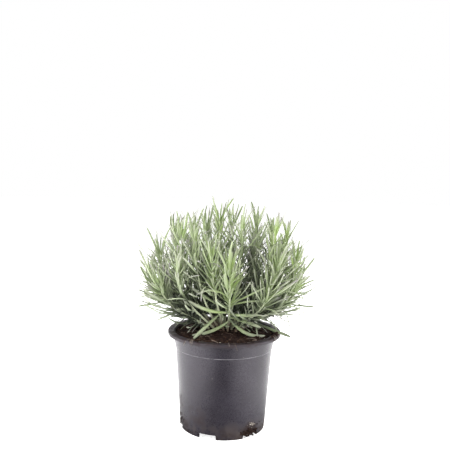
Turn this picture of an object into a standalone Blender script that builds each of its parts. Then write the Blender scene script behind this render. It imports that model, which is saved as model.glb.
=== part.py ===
"""A munstead lavender in a one-litre nursery pot: pot, peat and leafy shoots.

Metres, +Z up. The origin is the middle of the pot's foot, on the surface it stands on,
and the side shown to a viewer faces -Y.
"""

import itertools
import math
import random

import bmesh
import bpy
from mathutils import Matrix, Vector
from mathutils.bvhtree import BVHTree
from mathutils.geometry import interpolate_bezier

MM = 0.001
UP = Vector((0, 0, 1))
MERGE = 0.00002
SEED = 27

# Pot, a turned thin-walled moulding with a flanged lip, a collar and a notched foot
POT_HEIGHT = 112 * MM
LIP_RADIUS = 65 * MM
LIP_DROP = 4 * MM
COLLAR_TOP_RADIUS = 58.9 * MM
COLLAR_BOTTOM_RADIUS = 56.4 * MM
COLLAR_BOTTOM_HEIGHT = 93.2 * MM
BODY_TOP_RADIUS = 55.7 * MM
BODY_FOOT_RADIUS = 48.9 * MM
WALL = 1.2 * MM
ROUNDING = 0.8 * MM
PLATE_HEIGHT = 6 * MM
POT_SIDES = 36
NOTCH_COUNT = 6
NOTCH_WIDTH = 20 * MM
NOTCH_HEIGHT = 5.5 * MM
FIRST_NOTCH = math.radians(-110)
DRAIN_RADIUS = 4 * MM
DRAIN_RING = 37 * MM
DRAIN_SIDES = 8

# Peat, filling the pot to just under its lip, mounded in the middle
GAP = 0.35 * MM
PEAT_EDGE_HEIGHT = 108.3 * MM
PEAT_MOUND = 5 * MM
PEAT_LUMP = 0.9 * MM
PEAT_RINGS = (49 * MM, 39 * MM, 28 * MM, 15 * MM)
HOLE_SIDES = 6
HOLE_DEPTH = 20 * MM
STEM_SPACING = 6.2 * MM
FOOT_SPREAD = 22 * MM
SETTLING = 80

# Stems, square in section as a lavender's are
STEM_FOOT_RADIUS = 1.7 * MM
STEM_TIP_RADIUS = 1.05 * MM
STEM_STEPS = 8
STEM_COLLAR = 2.5 * MM
STEM_FINE_STEPS = 64
STEM_TURN = 0.37
STEM_LEAVING = 0.36
STEM_ARRIVING = 0.42
WIDEST_FLARE = 1.35
FULL_FLARE_REACH = 65

# Leaves, in opposite pairs, each pair a quarter turn from the one below
PAIRS = 6
CROWDING = 1.1
FIRST_PAIR = 0.18
LAST_PAIR = 0.96
LEAF_WIDTH = 2.4 * MM
LOW_LEAF_WIDTH = 3.7 * MM
LEAF_LENGTH = 50 * MM
TIP_LEAF_LENGTH = 39 * MM
LENGTH_SPARE = (-11 * MM, 5 * MM)
FOOT_SPREAD_ANGLE = 76
TIP_SPREAD_ANGLE = 32
LOW_SPREAD_ANGLE = 4
SPREAD_SPARE = 10
LEAST_SPREAD_ANGLE = 9
YOUNG_FROM = 0.5
LOW_UP_TO = 0.48
LOWEST_AT = 0.18
KEEL = 0.85 * MM
ROOT_SETBACK = 0.3 * MM
SPINE_STEPS = 12
FLAT_ANGLE = math.radians(2)
RINGS = (0, 4, 9, 12)
RING_WIDTH = {0: 0.5, 4: 1.0, 9: 0.94, 12: 0.0}
RING_KEEL = {0: 0.5, 4: 1.0, 9: 0.85, 12: 0.0}
CLEARANCE = 0.3 * MM
BUSH_LIMITS = (105 * MM, 82 * MM, 267 * MM)
TRIES = 14

# The long leaves that arch out over the peat and the lip: shoot, share of the way up it,
# bearing, length in millimetres, spread from the stem, curl towards it, droop, sway and roll
ARCHING_LEAVES = (
    ("front_right", 0.37, -163, 50, 84, 0.0, -0.75, 0.1, -1.6),
    ("front_right", 0.33, -20, 36, 82, 0.0, -0.5, 0.3, 1.4),
    ("front_left", 0.24, -146, 42, 104, 0.0, 0.2, 0.1, -0.9),
    ("front_right", 0.18, -140, 45, 112, 0.0, -0.45, 0.25, -0.7),
    ("front_right", 0.24, -50, 48, 126, 0.0, -0.95, -0.1, 0.5),
    ("front_right", 0.27, -18, 38, 92, 0.0, 0.0, 0.2, 0.7),
    ("front_right", 0.62, 168, 40, 50, 0.0, 1.3, 0.2, -0.9),
    ("front_right", 0.52, 0, 46, 58, 0.0, -0.1, 0.1, 0.3),
    ("front_right", 0.49, 14, 42, 74, 0.0, 0.35, 0.2, 0.4),
    ("front_left", 0.4, 178, 36, 42, 0.0, 0.0, 0.0, -0.6),
    ("left_wide", 0.6, 176, 42, 50, 0.0, 0.0, 0.1, -0.9),
    ("left_low", 0.55, 178, 34, 60, 0.0, 0.5, 0.3, -0.6),
    ("right_front_wide", 0.2, -8, 46, 58, 0.0, -0.15, 0.2, 0.8),
    ("right_wide", 0.5, -12, 46, 56, 0.0, -0.2, 0.0, 1.0),
    ("right_far", 0.2, 5, 40, 40, -0.2, 0.5, -0.4, 0.3),
    ("right_far", 0.62, -24, 38, 104, 0.0, 1.6, 0.0, 0.3),
    ("back_base", 0.24, 112, 40, 48, -0.1, 0.8, 0.2, 0.3),
)
# Shares of their way up below which some stems show bare
BARE_BELOW = {"front_left": 0.44, "front_right": 0.38, "left_mid": 0.36, "front_far_left": 0.36}
BARE_BELOW |= dict.fromkeys(("left_wide", "left_low", "right_far", "right_front_wide", "right_back_low"), 0.3)
# Shoots with leaves broader or closer to the stem than the others': width, spread
OWN_HABITS = {"front_left": (1.15, 0.62), "front_right": (1.15, 0.66), "right_wide": (1.1, 1.0)}

# Each shoot's bearing about the pot's axis, then its tip's reach from the axis and height,
# in millimetres, and how far its tip leans from upright. Bearing -90 faces the viewer.
SHOOTS = {
    "front_left": (-110, 43, 203, 2),
    "front_right": (-84, 46, 189, -3),
    "front_far_left": (-142, 66, 187, 4),
    "front_far_right": (-30, 66, 195, 5),
    "front_low_right": (-46, 68, 168, 16),
    "left_tall": (-153, 56, 222, 2),
    "left_outer": (179, 76, 198, 2),
    "left_wide": (-176, 86, 176, 10),
    "left_low": (-163, 70, 158, 32),
    "left_front_wide": (-155, 80, 171, 12),
    "left_mid": (-133, 50, 218, 3),
    "left_back_low": (156, 84, 164, 24),
    "middle_left": (-167, 23, 228, 2),
    "middle_back": (114, 20, 237, 1),
    "middle_front": (-41, 23, 226, 2),
    "middle_right": (31, 42, 231, 3),
    "left_back": (157, 66, 218, 3),
    "back_tall": (80, 43, 230, 2),
    "right_tall": (-24, 58, 227, 3),
    "right_outer": (11, 72, 219, 3),
    "right_wide": (-7, 80, 195, 6),
    "right_far": (9, 86, 175, 14),
    "right_front_wide": (-20, 82, 166, 28),
    "right_back_low": (27, 84, 163, 26),
    "back_left": (131, 60, 221, 4),
    "back_far_left": (141, 84, 177, 14),
    "back_wide": (94, 62, 186, 10),
    "back_low_left": (114, 64, 160, 28),
    "back_right": (57, 66, 212, 4),
    "back_far_right": (38, 82, 191, 10),
    "back_low_right": (58, 70, 160, 28),
    "back_base": (88, 47, 142, 48),
    "right_back": (25, 61, 221, 3),
    "inner_right": (6, 35, 207, 3),
    "inner_left": (-178, 34, 203, 3),
}

COLOURS = {
    "pot_plastic": ((0.055, 0.05, 0.056, 1), 0.42),
    "peat": ((0.026, 0.017, 0.013, 1), 0.95),
    "lavender_leaf": ((0.3, 0.38, 0.23, 1), 0.75),
}


def clear_scene():
    for item in list(bpy.data.objects):
        bpy.data.objects.remove(item)


def new_collection(name):
    collection = bpy.data.collections.new(name)
    bpy.context.scene.collection.children.link(collection)
    return collection


def new_material(name):
    colour, roughness = COLOURS[name]
    material = bpy.data.materials.new(name)
    material.use_nodes = True
    shader = material.node_tree.nodes["Principled BSDF"]
    shader.inputs["Base Color"].default_value = colour
    shader.inputs["Roughness"].default_value = roughness
    shader.inputs["Metallic"].default_value = 0
    return material


def new_object(name, mesh, collection, material=None):
    item = bpy.data.objects.new(name, mesh)
    collection.objects.link(item)
    if material:
        item.data.materials.append(material)
    return item


def bake(item):
    """Replaces the object's mesh with the one that its modifiers make."""
    bpy.context.view_layer.update()
    evaluated = item.evaluated_get(bpy.context.evaluated_depsgraph_get())
    mesh = bpy.data.meshes.new_from_object(evaluated)
    item.modifiers.clear()
    item.data = mesh


def turned(name, profile, collection, material):
    """A profile of (radius, height) points, from the axis round to the axis, turned about Z."""
    mesh = bpy.data.meshes.new(name)
    points = [(radius, 0, height) for radius, height in profile]
    mesh.from_pydata(points, [(i, i + 1) for i in range(len(points) - 1)], [])
    item = new_object(name, mesh, collection, material)
    screw = item.modifiers.new("turn", "SCREW")
    screw.axis = "Z"
    screw.angle = math.tau
    screw.steps = screw.render_steps = POT_SIDES
    screw.use_merge_vertices = True
    screw.merge_threshold = MERGE
    bake(item)
    return item


def cut(item, cutter):
    difference = item.modifiers.new("cut", "BOOLEAN")
    difference.operation = "DIFFERENCE"
    difference.object = cutter
    bake(item)


def body_radius(height):
    """The pot wall's outer radius, between its foot and its collar."""
    return BODY_FOOT_RADIUS + (BODY_TOP_RADIUS - BODY_FOOT_RADIUS) * height / COLLAR_BOTTOM_HEIGHT


def collar_inside(height):
    """The collar's inner radius, between its ledge and the lip."""
    rise = (height - COLLAR_BOTTOM_HEIGHT - WALL) / (POT_HEIGHT - ROUNDING - COLLAR_BOTTOM_HEIGHT - WALL)
    return COLLAR_BOTTOM_RADIUS - WALL + (COLLAR_TOP_RADIUS - COLLAR_BOTTOM_RADIUS) * rise


def pot_profile():
    """Up the inside from the axis, over the lip, and down the outside and under the foot."""
    plate_top = PLATE_HEIGHT + WALL
    inner_foot = body_radius(plate_top) - WALL
    lip_inside = COLLAR_TOP_RADIUS - WALL
    hem_inside = LIP_RADIUS - WALL
    skirt_inside = BODY_FOOT_RADIUS - 2 * WALL
    return [
        (0, plate_top),
        (inner_foot - WALL, plate_top),
        (inner_foot, plate_top + WALL),
        (BODY_TOP_RADIUS - WALL, COLLAR_BOTTOM_HEIGHT),
        (COLLAR_BOTTOM_RADIUS - WALL, COLLAR_BOTTOM_HEIGHT + WALL),
        (lip_inside, POT_HEIGHT - ROUNDING),
        (lip_inside + ROUNDING, POT_HEIGHT),
        (LIP_RADIUS - ROUNDING, POT_HEIGHT),
        (LIP_RADIUS, POT_HEIGHT - ROUNDING),
        (LIP_RADIUS, POT_HEIGHT - LIP_DROP),
        (hem_inside, POT_HEIGHT - LIP_DROP),
        (hem_inside, POT_HEIGHT - WALL),
        (COLLAR_TOP_RADIUS, POT_HEIGHT - 2 * WALL),
        (COLLAR_BOTTOM_RADIUS, COLLAR_BOTTOM_HEIGHT),
        (BODY_TOP_RADIUS, COLLAR_BOTTOM_HEIGHT - ROUNDING / 2),
        (body_radius(3 * ROUNDING), 3 * ROUNDING),
        (BODY_FOOT_RADIUS - ROUNDING, 0),
        (skirt_inside, 0),
        (skirt_inside + ROUNDING / 2, PLATE_HEIGHT - ROUNDING),
        (skirt_inside - ROUNDING, PLATE_HEIGHT),
        (0, PLATE_HEIGHT),
    ]


def pot_cutter(collection):
    """The foot's notches, and the drain hole inside each, as one cutter."""
    cutter = bmesh.new()
    for i in range(NOTCH_COUNT):
        turn = Matrix.Rotation(FIRST_NOTCH + math.tau * i / NOTCH_COUNT, 4, "Z")
        notch_middle = Matrix.Translation((BODY_FOOT_RADIUS, 0, 0))
        notch_size = Matrix.Diagonal((8 * WALL, NOTCH_WIDTH, 2 * NOTCH_HEIGHT, 1))
        bmesh.ops.create_cube(cutter, size=1, matrix=turn @ notch_middle @ notch_size)
        bmesh.ops.create_cone(
            cutter,
            cap_ends=True,
            segments=DRAIN_SIDES,
            radius1=DRAIN_RADIUS,
            radius2=DRAIN_RADIUS,
            depth=8 * WALL,
            matrix=turn @ Matrix.Translation((DRAIN_RING, 0, PLATE_HEIGHT)),
        )
    return cutter_object("pot_cutter", cutter, collection)


def cutter_object(name, shape, collection):
    mesh = bpy.data.meshes.new(name)
    shape.to_mesh(mesh)
    shape.free()
    item = new_object(name, mesh, collection)
    item.hide_render = True
    item.display_type = "WIRE"
    return item


def peat_top(x, y):
    """The height of the peat's surface: a low mound with lumps."""
    reach = math.hypot(x, y) / COLLAR_TOP_RADIUS
    mound = PEAT_EDGE_HEIGHT + PEAT_MOUND * max(0.0, 1 - reach * reach)
    waves = math.sin(x / (5 * MM) + 1.3) * math.sin(y / (6 * MM) - 0.4)
    ripple = math.sin(x / (2.9 * MM) - y / (4.1 * MM))
    return mound + PEAT_LUMP * (0.7 * waves + 0.3 * ripple)


def peat_body(collection, material, holes):
    """Peat: the pot's inside less a gap, under the lumpy surface, with a plain hole for each stem."""
    plate_top = PLATE_HEIGHT + WALL
    inner_foot = body_radius(plate_top) - WALL
    rim = collar_inside(PEAT_EDGE_HEIGHT) - GAP
    profile = [(0, PEAT_EDGE_HEIGHT)]
    profile += [(radius, PEAT_EDGE_HEIGHT) for radius in reversed(PEAT_RINGS)]
    profile += [
        (rim, PEAT_EDGE_HEIGHT),
        (COLLAR_BOTTOM_RADIUS - WALL - GAP, COLLAR_BOTTOM_HEIGHT + WALL),
        (BODY_TOP_RADIUS - WALL - GAP, COLLAR_BOTTOM_HEIGHT),
        (inner_foot - GAP, plate_top + WALL + GAP),
        (inner_foot - WALL - GAP, plate_top + GAP),
        (0, plate_top + GAP),
    ]
    item = turned("peat", profile, collection, material)
    for vertex in item.data.vertices:
        if vertex.co.z > PEAT_EDGE_HEIGHT - GAP:
            vertex.co.z = peat_top(vertex.co.x, vertex.co.y)
    cut(item, holes)
    return item


def stem_feet():
    """Where each stem leaves the peat: the more it slants, the further out, clear of its neighbours."""
    feet = {}
    for name, (bearing, reach, height, _) in SHOOTS.items():
        slant = math.atan2(reach * MM, height * MM - PEAT_EDGE_HEIGHT)
        angle = math.radians(bearing)
        feet[name] = Vector((math.cos(angle), math.sin(angle), 0)) * FOOT_SPREAD * slant
    for _ in range(SETTLING):
        for one, other in itertools.combinations(feet.values(), 2):
            apart = other - one
            push = apart.normalized() * max(0, STEM_SPACING - apart.length) / 2
            one -= push
            other += push
    for foot in feet.values():
        foot.z = peat_top(foot.x, foot.y)
    return feet


def stem_holes(feet, collection):
    """Plain upright holes in the peat, one for each stem."""
    holes = bmesh.new()
    radius = (STEM_FOOT_RADIUS + GAP) / math.cos(math.pi / HOLE_SIDES)
    for foot in feet:
        bmesh.ops.create_cone(
            holes,
            cap_ends=True,
            segments=HOLE_SIDES,
            radius1=radius,
            radius2=radius,
            depth=2 * HOLE_DEPTH,
            matrix=Matrix.Translation(foot),
        )
    return cutter_object("stem_holes", holes, collection)


def stem_line(foot, bearing, reach, height, lean):
    """The stem's middle line above the peat: it leaves upright, sweeps out and turns up again."""
    outward = Vector((math.cos(bearing), math.sin(bearing), 0))
    foot = foot + UP * STEM_COLLAR
    tip = outward * reach * MM + UP * height * MM
    length = (tip - foot).length
    flare = min(WIDEST_FLARE, reach / FULL_FLARE_REACH)
    leaving = (outward * flare + UP).normalized() * length * STEM_LEAVING
    arriving = (outward * math.sin(lean) + UP * math.cos(lean)) * length * STEM_ARRIVING
    return interpolate_bezier(foot, foot + leaving, tip - arriving, tip, STEM_FINE_STEPS + 1)


def stem_tube(name, line, foot, turn, collection):
    """The stem as a square-sectioned tube, tapering to its tip, with its lowest part in the peat."""
    stride = STEM_FINE_STEPS // STEM_STEPS
    points = [foot - UP * (HOLE_DEPTH - GAP)] + line[::stride]
    curve = bpy.data.curves.new(name, "CURVE")
    curve.dimensions = "3D"
    curve.bevel_depth = STEM_FOOT_RADIUS
    curve.bevel_resolution = 0
    curve.use_fill_caps = True
    spline = curve.splines.new("POLY")
    spline.points.add(len(points) - 1)
    for i, point in enumerate(points):
        share = max(0, i - 1) / STEM_STEPS
        spline.points[i].co = (*point, 1)
        spline.points[i].radius = 1 + (STEM_TIP_RADIUS / STEM_FOOT_RADIUS - 1) * share
        spline.points[i].tilt = turn
    guide = new_object(name + "_curve", curve, collection)
    bpy.context.view_layer.update()
    evaluated = guide.evaluated_get(bpy.context.evaluated_depsgraph_get())
    mesh = bpy.data.meshes.new_from_object(evaluated)
    bpy.data.objects.remove(guide)
    shape = bmesh.new()
    shape.from_mesh(mesh)
    bmesh.ops.remove_doubles(shape, verts=shape.verts, dist=MERGE)
    bmesh.ops.triangulate(shape, faces=shape.faces)
    shape.to_mesh(mesh)
    shape.free()
    return mesh


def unit_blade():
    """A straight three-sided blade cut across at each ring: its corners as (ring, across, depth)."""
    blade = bmesh.new()
    bmesh.ops.create_cone(blade, cap_ends=True, segments=3, radius1=1, radius2=0, depth=1)
    for ring in RINGS[1:-1]:
        height = ring / SPINE_STEPS - 0.5
        everything = blade.verts[:] + blade.edges[:] + blade.faces[:]
        bmesh.ops.bisect_plane(blade, geom=everything, plane_co=(0, 0, height), plane_no=UP)
    bmesh.ops.triangulate(blade, faces=blade.faces)
    corners = []
    for vertex in blade.verts:
        ring = round((vertex.co.z + 0.5) * SPINE_STEPS)
        size = max(1 - ring / SPINE_STEPS, MM)
        # The cone's three corners stand at 90, 210 and 330 degrees: one keel and two edges.
        keel = vertex.co.y / size > 0.5
        across = 0 if keel or ring == SPINE_STEPS else math.copysign(1, vertex.co.x)
        corners.append((ring, across, -1 if keel else 0))
    faces = [tuple(v.index for v in face.verts) for face in blade.faces]
    blade.free()
    return corners, faces


def pair_share(pair):
    """How far up the stem a pair of leaves grows, from 0 at the peat to 1 at the tip."""
    evenly = pair / (PAIRS - 1)
    return FIRST_PAIR + (LAST_PAIR - FIRST_PAIR) * (1 - (1 - evenly) ** CROWDING)


def leaf_spine(root, along, outward, length, spread, curl, droop, sway):
    """A leaf's middle line. It leaves the stem at an angle, curls with it, droops and sways."""
    heading = along * math.cos(spread) + outward * math.sin(spread)
    side = (outward * math.cos(spread) - along * math.sin(spread)).cross(heading).normalized()
    bend = along * curl + side * sway - UP * droop
    points = [root + heading * ROOT_SETBACK]
    for step in range(SPINE_STEPS):
        turned_to = heading + bend * step / SPINE_STEPS
        points.append(points[-1] + turned_to.normalized() * length / SPINE_STEPS)
    return points, side


def blade_points(spine, side, roll, width, corners, margin=0.0):
    """The blade's corners along its middle line, rolled about it, and fattened by the margin."""
    placed = []
    for ring, across, depth in corners:
        before, after = spine[max(0, ring - 1)], spine[min(SPINE_STEPS, ring + 1)]
        tangent = (after - before).normalized()
        edge = (Matrix.Rotation(roll * ring / SPINE_STEPS, 3, tangent) @ side).normalized()
        upper = edge.cross(tangent).normalized()
        half = across * (width / 2 * RING_WIDTH[ring] + margin)
        lift = depth * (KEEL * RING_KEEL[ring] + margin) if depth else margin
        placed.append(spine[ring] + edge * half + upper * lift)
    return placed


def leaf_habit(draw, shoot_name, share, attempt):
    """A leaf's size and bends for its place on the stem, varied and shortened at each try."""
    loosen = attempt / TRIES
    young = max(0.0, (share - YOUNG_FROM) / (1 - YOUNG_FROM))
    low = max(0.0, (LOW_UP_TO - share) / (LOW_UP_TO - LOWEST_AT))
    length = LEAF_LENGTH + (TIP_LEAF_LENGTH - LEAF_LENGTH) * young + draw.uniform(*LENGTH_SPARE)
    spread = FOOT_SPREAD_ANGLE + (TIP_SPREAD_ANGLE - FOOT_SPREAD_ANGLE) * share**1.4
    spread += LOW_SPREAD_ANGLE * low + SPREAD_SPARE * draw.uniform(-1, 1) * (1 + 1.5 * loosen)
    broader, wider = OWN_HABITS.get(shoot_name, (1, 1))
    curl = 0.15 + 0.25 * low + draw.uniform(-0.6, 0.6)
    droop = 0.4 * low - 0.5 + draw.uniform(-0.6, 0.6) * (1 + 1.2 * low)
    sway = draw.uniform(-0.9, 0.9) * (1 + 0.6 * low)
    roll = draw.uniform(-0.8, 0.8)
    width = (LEAF_WIDTH + (LOW_LEAF_WIDTH - LEAF_WIDTH) * low) * draw.uniform(0.88, 1.1) * broader
    spread = math.radians(max(LEAST_SPREAD_ANGLE, spread * wider))
    return (length * (1 - 0.28 * loosen), spread, curl, droop, sway), roll, width


class Shoot:
    """One leafy stem: its line, its tube and the leaves grown on it so far."""

    def __init__(self, name, number, foot, shape, collection):
        bearing, reach, height, lean = shape
        self.name = name
        self.line = stem_line(foot, math.radians(bearing), reach, height, math.radians(lean))
        self.tube = stem_tube(name, self.line, foot, STEM_TURN * number, collection)
        self.tree = tree_of(self.tube)
        self.blades = []

    def place(self, share):
        """The stem's point and direction at a share of its length."""
        at = min(STEM_FINE_STEPS - 1, int(share * STEM_FINE_STEPS))
        rest = share * STEM_FINE_STEPS - at
        before, after = self.line[at], self.line[at + 1]
        return before.lerp(after, rest), (after - before).normalized()

    def outward(self, root, along, pair, side):
        """Square to one of the stem's four faces, a quarter turn on from the pair below."""
        across = along.cross(Vector((0, 1, 0)))
        _, normal, _, _ = self.tree.ray_cast(root, across)
        square = (normal - along * normal.dot(along)).normalized()
        return Matrix.Rotation(math.pi * side + math.pi / 2 * pair, 3, along) @ square


def inside_bush(spine):
    """Whether the whole leaf is within the bush's size."""
    across, deep, high = BUSH_LIMITS
    return all(abs(p.x) < across and abs(p.y) < deep and p.z < high for p in spine)


def add_if_clear(shoot, spine, edge, roll, width, template, others):
    """Adds the blade to its shoot and says so, if it is clear of every other leaf and stem."""
    corners, faces = template
    fattened = blade_points(spine, edge, roll, width, corners, CLEARANCE)
    whole = BVHTree.FromPolygons(fattened, faces)
    if any(whole.overlap(tree) for name, tree in others if name != shoot.name):
        return False
    # Among its own shoot's leaves the root is left out, because they all meet in the stem.
    outer = [face for face in faces if all(corners[i][0] > 0 for i in face)]
    beyond_root = BVHTree.FromPolygons(fattened, outer)
    if any(beyond_root.overlap(tree) for name, tree in others if name == shoot.name):
        return False
    points = blade_points(spine, edge, roll, width, corners)
    shoot.blades.append(points)
    others.append((shoot.name, BVHTree.FromPolygons(points, faces)))
    return True


def grow_arching_leaf(shoot, habit, template, others):
    """Adds one of the long leaves, turned and lifted a little until it is clear."""
    share, bearing, length, spread, *bends, roll = habit
    root, along = shoot.place(share)
    level = Vector((math.cos(math.radians(bearing)), math.sin(math.radians(bearing)), 0))
    outward = (level - along * level.dot(along)).normalized()
    width = LOW_LEAF_WIDTH if share < LOW_UP_TO else LEAF_WIDTH
    for attempt in range(TRIES):
        draw = random.Random(f"{SEED} {shoot.name} arching {attempt}")
        turn = Matrix.Rotation(draw.uniform(-0.04, 0.04) * attempt, 3, along)
        lift = math.radians(spread + draw.uniform(-2, 2) * attempt)
        spine, edge = leaf_spine(root, along, turn @ outward, length * MM, lift, *bends)
        if not inside_bush(spine):
            continue
        if add_if_clear(shoot, spine, edge, roll, width, template, others):
            return


def grow_leaf(shoot, pair, side, template, others):
    """Adds a leaf to the shoot, bent until it is clear of all the others, or leaves it off."""
    share = pair_share(pair)
    if share < BARE_BELOW.get(shoot.name, 0):
        return
    root, along = shoot.place(share)
    for attempt in range(TRIES):
        draw = random.Random(f"{SEED} {shoot.name} {pair} {side} {attempt}")
        bends, roll, width = leaf_habit(draw, shoot.name, share, attempt)
        swing = Matrix.Rotation(draw.uniform(-0.5, 0.5) * (0.3 + attempt / TRIES), 3, along)
        outward = swing @ shoot.outward(root, along, pair, side)
        spine, edge = leaf_spine(root, along, outward, *bends)
        # Only the arching leaves hang lower than their root.
        if spine[-1].z < spine[0].z or not inside_bush(spine):
            continue
        if add_if_clear(shoot, spine, edge, roll, width, template, others):
            return


def flatten(mesh):
    """Takes out the points that lie in a flat face or on a straight edge."""
    shape = bmesh.new()
    shape.from_mesh(mesh)
    bmesh.ops.dissolve_limit(shape, angle_limit=FLAT_ANGLE, verts=shape.verts, edges=shape.edges)
    bmesh.ops.triangulate(shape, faces=shape.faces)
    shape.to_mesh(mesh)
    shape.free()


def fused(shoot, faces, collection, material):
    """The shoot's stem and leaves as one closed body."""
    stem = new_object(shoot.name, shoot.tube, collection, material)
    leaves = new_collection(shoot.name + "_leaves")
    for i, points in enumerate(shoot.blades):
        mesh = bpy.data.meshes.new(f"{shoot.name}_leaf_{i}")
        mesh.from_pydata([tuple(point) for point in points], [], faces)
        new_object(mesh.name, mesh, leaves)
    union = stem.modifiers.new("union", "BOOLEAN")
    union.operation = "UNION"
    union.operand_type = "COLLECTION"
    union.collection = leaves
    union.solver = "MANIFOLD"
    bake(stem)
    flatten(stem.data)
    for leaf in list(leaves.objects):
        bpy.data.objects.remove(leaf)
    bpy.data.collections.remove(leaves)


def tree_of(mesh):
    """A mesh's triangles in the form that overlaps are tested with."""
    mesh.calc_loop_triangles()
    points = [vertex.co.copy() for vertex in mesh.vertices]
    return BVHTree.FromPolygons(points, [tuple(t.vertices) for t in mesh.loop_triangles])


def main():
    clear_scene()
    plant = new_collection("potted_lavender")
    cutters = new_collection("cutters")
    materials = {name: new_material(name) for name in COLOURS}

    pot = turned("pot", pot_profile(), plant, materials["pot_plastic"])
    cut(pot, pot_cutter(cutters))
    pot.data.shade_smooth()
    pot.data.set_sharp_from_angle(angle=math.radians(30))

    feet = stem_feet()
    peat = peat_body(plant, materials["peat"], stem_holes(feet.values(), cutters))
    shoots = [Shoot(name, i, feet[name], SHOOTS[name], cutters) for i, name in enumerate(SHOOTS)]

    others = [("pot", tree_of(pot.data)), ("peat", tree_of(peat.data))]
    others += [(shoot.name, shoot.tree) for shoot in shoots]
    template = unit_blade()
    by_name = {shoot.name: shoot for shoot in shoots}
    for name, *habit in ARCHING_LEAVES:
        grow_arching_leaf(by_name[name], habit, template, others)
    for pair in range(PAIRS):
        for shoot in shoots:
            for side in (0, 1):
                grow_leaf(shoot, pair, side, template, others)
    for shoot in shoots:
        fused(shoot, template[1], plant, materials["lavender_leaf"])


main()
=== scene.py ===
import itertools
import math
import random

import bpy
import numpy as np
from mathutils import Matrix, Vector, noise
from mathutils.bvhtree import BVHTree
from mathutils.geometry import interpolate_bezier


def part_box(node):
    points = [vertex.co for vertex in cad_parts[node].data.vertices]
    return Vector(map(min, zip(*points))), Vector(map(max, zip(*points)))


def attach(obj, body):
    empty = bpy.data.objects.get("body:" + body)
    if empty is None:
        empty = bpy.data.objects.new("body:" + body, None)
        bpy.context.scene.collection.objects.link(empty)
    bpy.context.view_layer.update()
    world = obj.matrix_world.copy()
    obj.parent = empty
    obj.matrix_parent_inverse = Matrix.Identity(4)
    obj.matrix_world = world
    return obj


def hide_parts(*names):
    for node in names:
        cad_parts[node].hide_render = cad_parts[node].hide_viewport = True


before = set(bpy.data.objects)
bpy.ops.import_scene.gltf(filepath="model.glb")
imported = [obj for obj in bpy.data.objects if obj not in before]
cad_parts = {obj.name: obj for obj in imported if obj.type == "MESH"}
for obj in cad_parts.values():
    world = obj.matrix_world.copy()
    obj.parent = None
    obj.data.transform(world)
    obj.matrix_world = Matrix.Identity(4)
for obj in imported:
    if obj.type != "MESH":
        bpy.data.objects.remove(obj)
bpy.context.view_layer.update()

# A young munstead lavender in a nursery pot. Metres, +Z up, the side shown to a viewer faces -Y.
mm = 0.001
up = Vector((0, 0, 1))
middle = (0, 0, 0)


def compass(turn):  # level, at this angle about the pot's axis
    return Vector((math.cos(turn), math.sin(turn), 0))


def mixed(start, end, share):
    return start + (end - start) * share


def deselectAll():
    bpy.ops.object.select_all(action="DESELECT")


def pick(*things):
    deselectAll()
    for thing in things:
        thing.select_set(True)
    bpy.context.view_layer.objects.active = things[0]


def editAll():
    bpy.ops.object.mode_set(mode="EDIT")
    bpy.ops.mesh.select_all(action="SELECT")


def leaveEdit():
    bpy.ops.object.mode_set(mode="OBJECT")


def faceOutwards():  # the last step in edit mode
    bpy.ops.mesh.select_all(action="SELECT")
    bpy.ops.mesh.normals_make_consistent(inside=False)
    leaveEdit()


def selectWhere(thing, wanted):  # in edit mode, the points that pass the test
    bpy.ops.mesh.select_all(action="DESELECT")
    leaveEdit()
    for vertex in thing.data.vertices:
        vertex.select = wanted(vertex)
    bpy.ops.object.mode_set(mode="EDIT")


def extrudeUp(height, across=1.0, deep=1.0):  # the next ring, so much higher and larger
    bpy.ops.mesh.extrude_region_move(TRANSFORM_OT_translate={"value": (0, 0, height)})
    bpy.ops.transform.resize(value=(across, deep, 1), center_override=middle)


def named(name):
    thing = bpy.context.object
    thing.name = thing.data.name = name
    return thing


def added(name, data):
    thing = bpy.data.objects.new(name, data)
    bpy.context.scene.collection.objects.link(thing)
    return thing


def settle(thing):  # its place, turn and scale go into its mesh
    pick(thing)
    bpy.ops.object.transform_apply(location=True, rotation=True, scale=True)


def joined(things, name):
    pick(*things)
    bpy.ops.object.join()
    return named(name)


def copyOf(template, matrix=None):  # each copy has its own mesh
    copy = added(template.name, template.data.copy())
    if matrix:
        copy.data.transform(matrix)
    return copy


def discard(*things):
    for thing in things:
        bpy.data.objects.remove(thing)


def putOn(thing, material):
    thing.data.materials.clear()
    thing.data.materials.append(material)


def stamp(thing, **layers):  # each with one number for every point of the mesh, or the same one for all
    for name, values in layers.items():
        layer = thing.data.attributes.new(name, "FLOAT", "POINT")
        spread = np.broadcast_to(np.asarray(values, np.float32), len(thing.data.vertices))
        layer.data.foreach_set("value", spread.copy())


def pointsOf(thing):
    points = np.empty(len(thing.data.vertices) * 3, np.float32)
    thing.data.vertices.foreach_get("co", points)
    return points.reshape(-1, 3).astype(float)


def movePoints(thing, points):
    thing.data.vertices.foreach_set("co", np.asarray(points, np.float32).ravel())
    thing.data.update()


def smooth(thing, degrees=180):
    pick(thing)
    bpy.ops.object.shade_smooth_by_angle(angle=math.radians(degrees))


def arc(centre, radius, start, end, steps):  # points from one angle to another, in degrees
    turns = [math.radians(start + (end - start) * i / steps) for i in range(steps + 1)]
    return [(centre[0] + radius * math.cos(turn), centre[1] + radius * math.sin(turn)) for turn in turns]


# Rings grow one from the next along the outline, from its start to its end, and both ends are filled.
def turnedPiece(name, outline, sides):
    deselectAll()
    radius, height = outline[0]
    bpy.ops.mesh.primitive_circle_add(vertices=sides, radius=radius, location=(0, 0, height))
    piece = named(name)
    settle(piece)
    editAll()
    for (before, low), (after, high) in itertools.pairwise(outline):
        extrudeUp(high - low, after / before, after / before)
    bpy.ops.mesh.edge_face_add()
    selectWhere(piece, lambda vertex: vertex.index < sides)
    bpy.ops.mesh.edge_face_add()
    faceOutwards()
    return piece


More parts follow.
